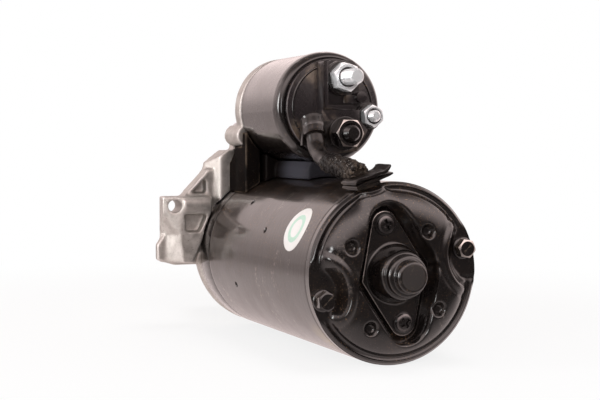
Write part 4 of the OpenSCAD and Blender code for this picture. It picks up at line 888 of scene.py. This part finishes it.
def addStuds():
    t = threadSet
    for name, v in studSet.items():
        length = v["rootY"] - v["tipY"]
        rows = int(length / v["pitch"] * t["rowsPerTurn"])
        points = []
        for i in range(rows + 1):
            up = length * i / rows
            for k in range(t["steps"]):
                wave = (up / v["pitch"] + k / t["steps"]) % 1
                cut = min(max((abs(wave - 0.5) - t["crest"]) / t["flank"], 0.0), 1.0)
                r = min(v["r"] - t["deep"] * v["pitch"] * cut, v["r"] - t["tipTaper"] + t["tipTaper"] * up)
                a = 2 * math.pi * k / t["steps"]
                points.append(roundPoint(r, a, v["tipY"] + up, v["centre"]))
        shaft = (points, ringFaces(rows + 1, t["steps"], closeFirst=True, closeLast=True))
        headY = v["rootY"] - t["headThick"]
        head = turnedShape([(0.02, headY), (v["headR"], headY), (v["headR"], v["rootY"]), (0.02, v["rootY"])],
                           v["centre"], 36)
        piece = makePiece(v["piece"], *joinShapes(shaft, head), finishes[v["finish"]], v["finish"], sharp=40)
        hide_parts(name)


nutSet = {
    "terminal_nuts": [
        {"centre": (2.5, 92.0), "seatY": -103.4, "height": 6.5, "flats": 13.0, "boreR": 3.9, "turn": 0.25},
        {"centre": (19.0, 73.0), "seatY": -100.1, "height": 5.0, "flats": 10.0, "boreR": 2.9, "turn": 0.1}],
    "motor_nut": [
        {"centre": (2.0, 64.3), "seatY": -107.9, "height": 6.5, "flats": 13.0, "boreR": 3.9, "turn": 0.5}],
}
washerSet = {"thick": 1.4, "soft": 0.35,
             "places": [{"centre": (2.5, 92.0), "seatY": -102.0, "r": 8.4, "boreR": 4.4},
                        {"centre": (19.0, 73.0), "seatY": -98.7, "r": 6.4, "boreR": 3.4},
                        {"centre": (2.0, 64.3), "seatY": -106.5, "r": 8.4, "boreR": 4.4}]}


def addNutsAndWashers():
    for name, nuts in nutSet.items():
        shape = joinShapes(*[hexHead(**nut, bothEnds=True) for nut in nuts])
        if name == "terminal_nuts":
            piece = makePiece("zincNuts", *shape, finishes[slotOf[name]], slotOf[name], sharp=28)
            paintFaces(piece, finishes["dark_steel"], lambda c, n: any(  # painted shade in the countersinks
                awayFrom(nut["centre"], c) < nut["boreR"] + 0.9 for nut in nuts))
        else:
            piece = makePiece("paintedNut", *shape, shinyBlack, slotOf[name], sharp=28)
            paintFaces(piece, bareEdgeAndHighlight, lambda c, n: -0.97 < n.y < -0.4  # bare metal on its corners for painted highlight lines
                       and awayFrom(nuts[0]["centre"], c) > 6.0)
        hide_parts(name)
    shapes = []
    for w in washerSet["places"]:
        rearY = w["seatY"] - washerSet["thick"]
        outline = [(w["boreR"], w["seatY"]), (w["r"], w["seatY"]), (w["r"], rearY), (w["boreR"], rearY),
                   (w["boreR"], w["seatY"])]
        points, faces = turnedShape(softOutline(outline, washerSet["soft"], 3), w["centre"], 72)
        shapes.append((points, faces[:-2]))
    piece = makePiece("washers", *joinShapes(*shapes), finishes["black_enamel"], "black_enamel", sharp=50)
    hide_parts("terminal_washers")


addSolenoidCan()
addStuds()
addNutsAndWashers()
print("solenoid can and terminals made")


# motor lead: sleeve out of the crimp, then a woven run to the grommet, all sprayed black
leadSet = {"route": [(-15, -105.8, 71.2), (-15.5, -109.9, 64.2), (-16, -114, 57.2), (-16.4, -121, 53),
                     (-16.4, -129, 50.4), (-16, -137, 49.2), (-15.2, -144, 48), (-14.4, -151, 46.8),
                     (-13.6, -158, 45.6)],
           "r": 4.5, "sleeveEnd": 0.52, "sleeveShare": 0.97, "lip": (0.35, 0.97, 0.03), "wave": 0.12,
           "waveTurns": 26, "strands": 6, "turnLength": 15.0, "strandR": 1.3, "inset": 0.9,
           "overUnder": 0.42, "lean": 0.12, "swell": (0.85, 1.2), "seed": 4}


def addMotorLead():
    v = leadSet
    run = smoothRun(v["route"], 14)
    cut = int(v["sleeveEnd"] * len(run))

    def sleeveR(t, a):
        wave = v["wave"] * math.sin(v["waveTurns"] * t + 2 * math.sin(a)) * t
        return v["r"] * v["sleeveShare"] + ridge(t, *v["lip"]) + wave

    makePiece("leadSleeve", *pipeShape(run[:cut + 1], sleeveR, 40), sleevePaint, "black_rubber", sharp=60)
    weave = run[cut - 2:]
    path, sides, ups = pipeFrames(weave)
    along = np.concatenate([[0], np.cumsum(np.linalg.norm(np.diff(path, axis=0), axis=1))])
    shapes = [pipeShape(weave, lambda t, a: v["r"] - v["inset"], 20)]
    uneven = random.Random(v["seed"])
    for way in (1, -1):
        for s in range(v["strands"]):
            lean, swell = uneven.uniform(-v["lean"], v["lean"]), uneven.uniform(*v["swell"])
            strand = []
            for i, d in enumerate(along):
                turns = 2 * math.pi * d / v["turnLength"]
                a = way * turns + 2 * math.pi * (s + lean) / v["strands"]
                r = v["r"] - v["inset"] + v["overUnder"] * way * math.sin(v["strands"] * turns + 1.3 * s)
                strand.append(path[i] + r * (math.cos(a) * sides[i] + math.sin(a) * ups[i]))
            shapes.append(pipeShape(strand, lambda t, a, w=swell: w * v["strandR"], 8))
    piece = makePiece("leadBraid", *joinShapes(*shapes), finishes["braid"], "braid", sharp=70)
    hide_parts("motor_lead")


# crimp of the lug: one barrel, folded in along its rear and pressed round its middle
crimpSet = {"from": (-15.0, -105.8, 71.2), "to": (-15.6, -110.6, 62.9), "r": 5.6, "foldAt": 4.3,
            "foldHalf": 0.28, "foldShare": 0.24, "flare": 0.25, "flareLong": 0.06, "band": (0.35, 0.52, 0.05)}


def addCrimp():
    v = crimpSet
    start, stop = np.array(v["from"]), np.array(v["to"])
    path = [start + (stop - start) * t for t in np.linspace(0, 1, 22)]

    def barrelR(t, a):
        fold = ridge((a - v["foldAt"] + math.pi) % (2 * math.pi) - math.pi, 1.0, 0, v["foldHalf"])
        flare = ridge(t, v["flare"], 0, v["flareLong"]) + ridge(t, v["flare"], 1, v["flareLong"])
        return v["r"] * (1 - v["foldShare"] * fold) + flare * (1 - fold) - ridge(t, *v["band"])

    makePiece("lugCrimp", *pipeShape(path, barrelR, 72), sleevePaint, "black_enamel", sharp=50)


# grommet: two soft plates over the rim, tilted with the notch, the right end curled up
grommetSet = {"angle": 107.0, "rimY": -166.0, "yokeR": 42.0, "wide": 20.0, "shift": 2.4, "long": 16.0,
              "overhang": 2, "plates": [{"base": 1.1, "curl": 0.5}, {"base": 3.2, "curl": 1.9}], "t": 1.6,
              "curlFrom": 0.62, "droop": 0.9, "droopFrom": 0.7, "wave": 0.16, "waist": 0.04,
              "across": 44, "along": 26,
              "block": [(-5.8, 38.6), (5.8, 38.6), (5.9, 41), (5.9, 43.4), (4.5, 45.6), (-4.5, 45.6),
                        (-5.9, 43.4), (-5.9, 41)], "blockLong": (0.6, 12), "blockRows": 9}


def addGrommet():
    v = grommetSet
    across, along = v["across"], v["along"]
    rows = along + 1
    count = (across + 1) * rows

    def tilted(x, y, z):
        x, z = turnedBack(x, z, 90 - v["angle"])
        return x, y, z

    shapes = []
    for n, plate in enumerate(v["plates"]):
        points, faces = [], []
        for side in (0, 1):
            for i in range(across + 1):
                for j in range(rows):
                    u, w = 2 * i / across - 1, 2 * j / along - 1
                    corner = max(0.0, (abs(u) ** 8 + abs(w) ** 8) - 0.35)
                    x = v["shift"] + u * v["wide"] / 2 * (1 - v["waist"] * w * w)
                    y = v["rimY"] - v["overhang"] + v["long"] * (w + 1) / 2
                    half = v["t"] / 2 * max(0.45, 1 - 0.55 * corner)
                    lift = plate["curl"] * max(0.0, (u - v["curlFrom"]) / (1 - v["curlFrom"])) ** 2
                    lift -= v["droop"] * max(0.0, (-u - v["droopFrom"]) / (1 - v["droopFrom"])) ** 2
                    wavy = v["wave"] * math.sin(7 * u + 3 * n) * math.cos(4 * w + n)
                    z = v["yokeR"] + plate["base"] + v["t"] / 2 + lift + wavy + (half if side else -half)
                    points.append(tilted(x, y, z))
            for i in range(across):
                for j in range(along):
                    a = side * count + i * rows + j
                    faces.append((a, a + 1, a + rows + 1, a + rows))
        rim = [i * rows for i in range(across + 1)] + [across * rows + j for j in range(1, rows)]
        rim += [i * rows + along for i in range(across - 1, -1, -1)] + list(range(along - 1, 0, -1))
        faces += [(p, q, q + count, p + count) for p, q in zip(rim, rim[1:] + rim[:1])]
        shapes.append((points, faces))
    stations = np.linspace(*[v["rimY"] + end for end in v["blockLong"]], v["blockRows"])
    block = [tilted(x, y, z) for y in stations for x, z in v["block"]]
    shapes.append((block, ringFaces(v["blockRows"], len(v["block"]), closeFirst=True, closeLast=True)))
    piece = makePiece("leadGrommet", *joinShapes(*shapes), finishes["black_rubber"], "black_rubber", sharp=60)
    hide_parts("lead_grommet")


addMotorLead()
addCrimp()
addGrommet()
print("lead, crimp and grommet made")


# springs: each slide a spring presses on gets a coil of its own, held on the case
sameWay = 0.7  # least cosine between an axis and a coil that lies along it
springSet = {"return_spring": ["plunger_slide"], "brush_springs": [f"brush_{k}_slide" for k in (1, 2, 3, 4)]}


def addSprings():
    joints = {joint["name"]: joint for joint in frame["record"]["behaviour"]["joints"]}
    for node, jointNames in springSet.items():
        for jointName in jointNames:
            axis = Vector(joints[jointName]["axis"]).normalized()
            mesh = cadNodes[node].data.copy()
            shape = bmesh.new()
            shape.from_mesh(mesh)
            if len(jointNames) > 1:  # keep the coil that lies along this axis
                others = [v for v in shape.verts
                          if Vector((v.co.x, 0, v.co.z)).normalized().dot(axis) < sameWay]
                bmesh.ops.delete(shape, geom=others, context="VERTS")
            shape.to_mesh(mesh)
            shape.free()
            piece = bpy.data.objects.new(jointName.replace("_slide", "Spring").replace("_", ""), mesh)
            scene.collection.objects.link(piece)
            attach(piece, "case")
            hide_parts(node)
            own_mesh(piece)


addSprings()
print("springs made")


# round paper label on the yoke, left plain apart from a pale ring
labelSet = {"angle": 151.5, "y": -139.0, "r": 11.3, "yokeR": 42.0, "proud": 0.12, "rings": 14, "steps": 72,
            "ringIn": (0.40, 0.43), "ringOut": (0.62, 0.65)}


def labelPaper():
    finish, tree, shader, place = newFinish("labelPaper", {"Specular IOR Level": 0.5, "Coat Weight": 0.25,
                                                           "Coat Roughness": 0.2})
    out = distanceTo(tree, addNode(tree, "UVMap").outputs["UV"])
    ring = times(tree, spread(tree, out, *labelSet["ringIn"]),
                spread(tree, out, *labelSet["ringOut"], 1.0, 0.0))
    fibre = grain(tree, place, 900, 4.0)
    cloud = grain(tree, place, 120, 4.0)
    paper = blendColour(tree, spread(tree, cloud, 0.4, 0.8), (0.70, 0.70, 0.685), (0.63, 0.625, 0.605))
    inked = blendColour(tree, spread(tree, fibre, 0.35, 0.7), (0.36, 0.57, 0.46), (0.43, 0.62, 0.52))
    colour = blendColour(tree, ring, paper, inked)
    rim = spread(tree, out, 0.93, 1.0)
    colour = blendColour(tree, times(tree, rim, 0.35), colour, (0.5, 0.47, 0.42))
    roughness = spread(tree, cloud, 0.3, 0.8, 0.32, 0.5)
    finishUp(tree, shader, colour, roughness, addBump(tree, fibre, 0.00003, 0.4))
    return finish


def addLabel():
    v = labelSet
    rings, steps = v["rings"], v["steps"]
    points, spots = [], []
    for i in range(rings + 1):
        share = i / rings
        for a in turnSteps(steps):
            turn = math.radians(v["angle"]) + v["r"] * share * math.sin(a) / v["yokeR"]
            out = v["yokeR"] + (v["proud"] if i < rings else 0.02)
            points.append(roundPoint(out, turn, v["y"] + v["r"] * share * math.cos(a)))
            spots.append((share * math.cos(a), share * math.sin(a)))
    faces = ringFaces(rings + 1, steps)
    piece = makePiece("roundLabel", points, faces, labelPaper(), "resin", sharp=60, weld=0)
    layer = piece.data.uv_layers.new(name="spot")
    for loop in piece.data.loops:
        layer.data[loop.index].uv = spots[loop.vertex_index]


addLabel()
print("label made")
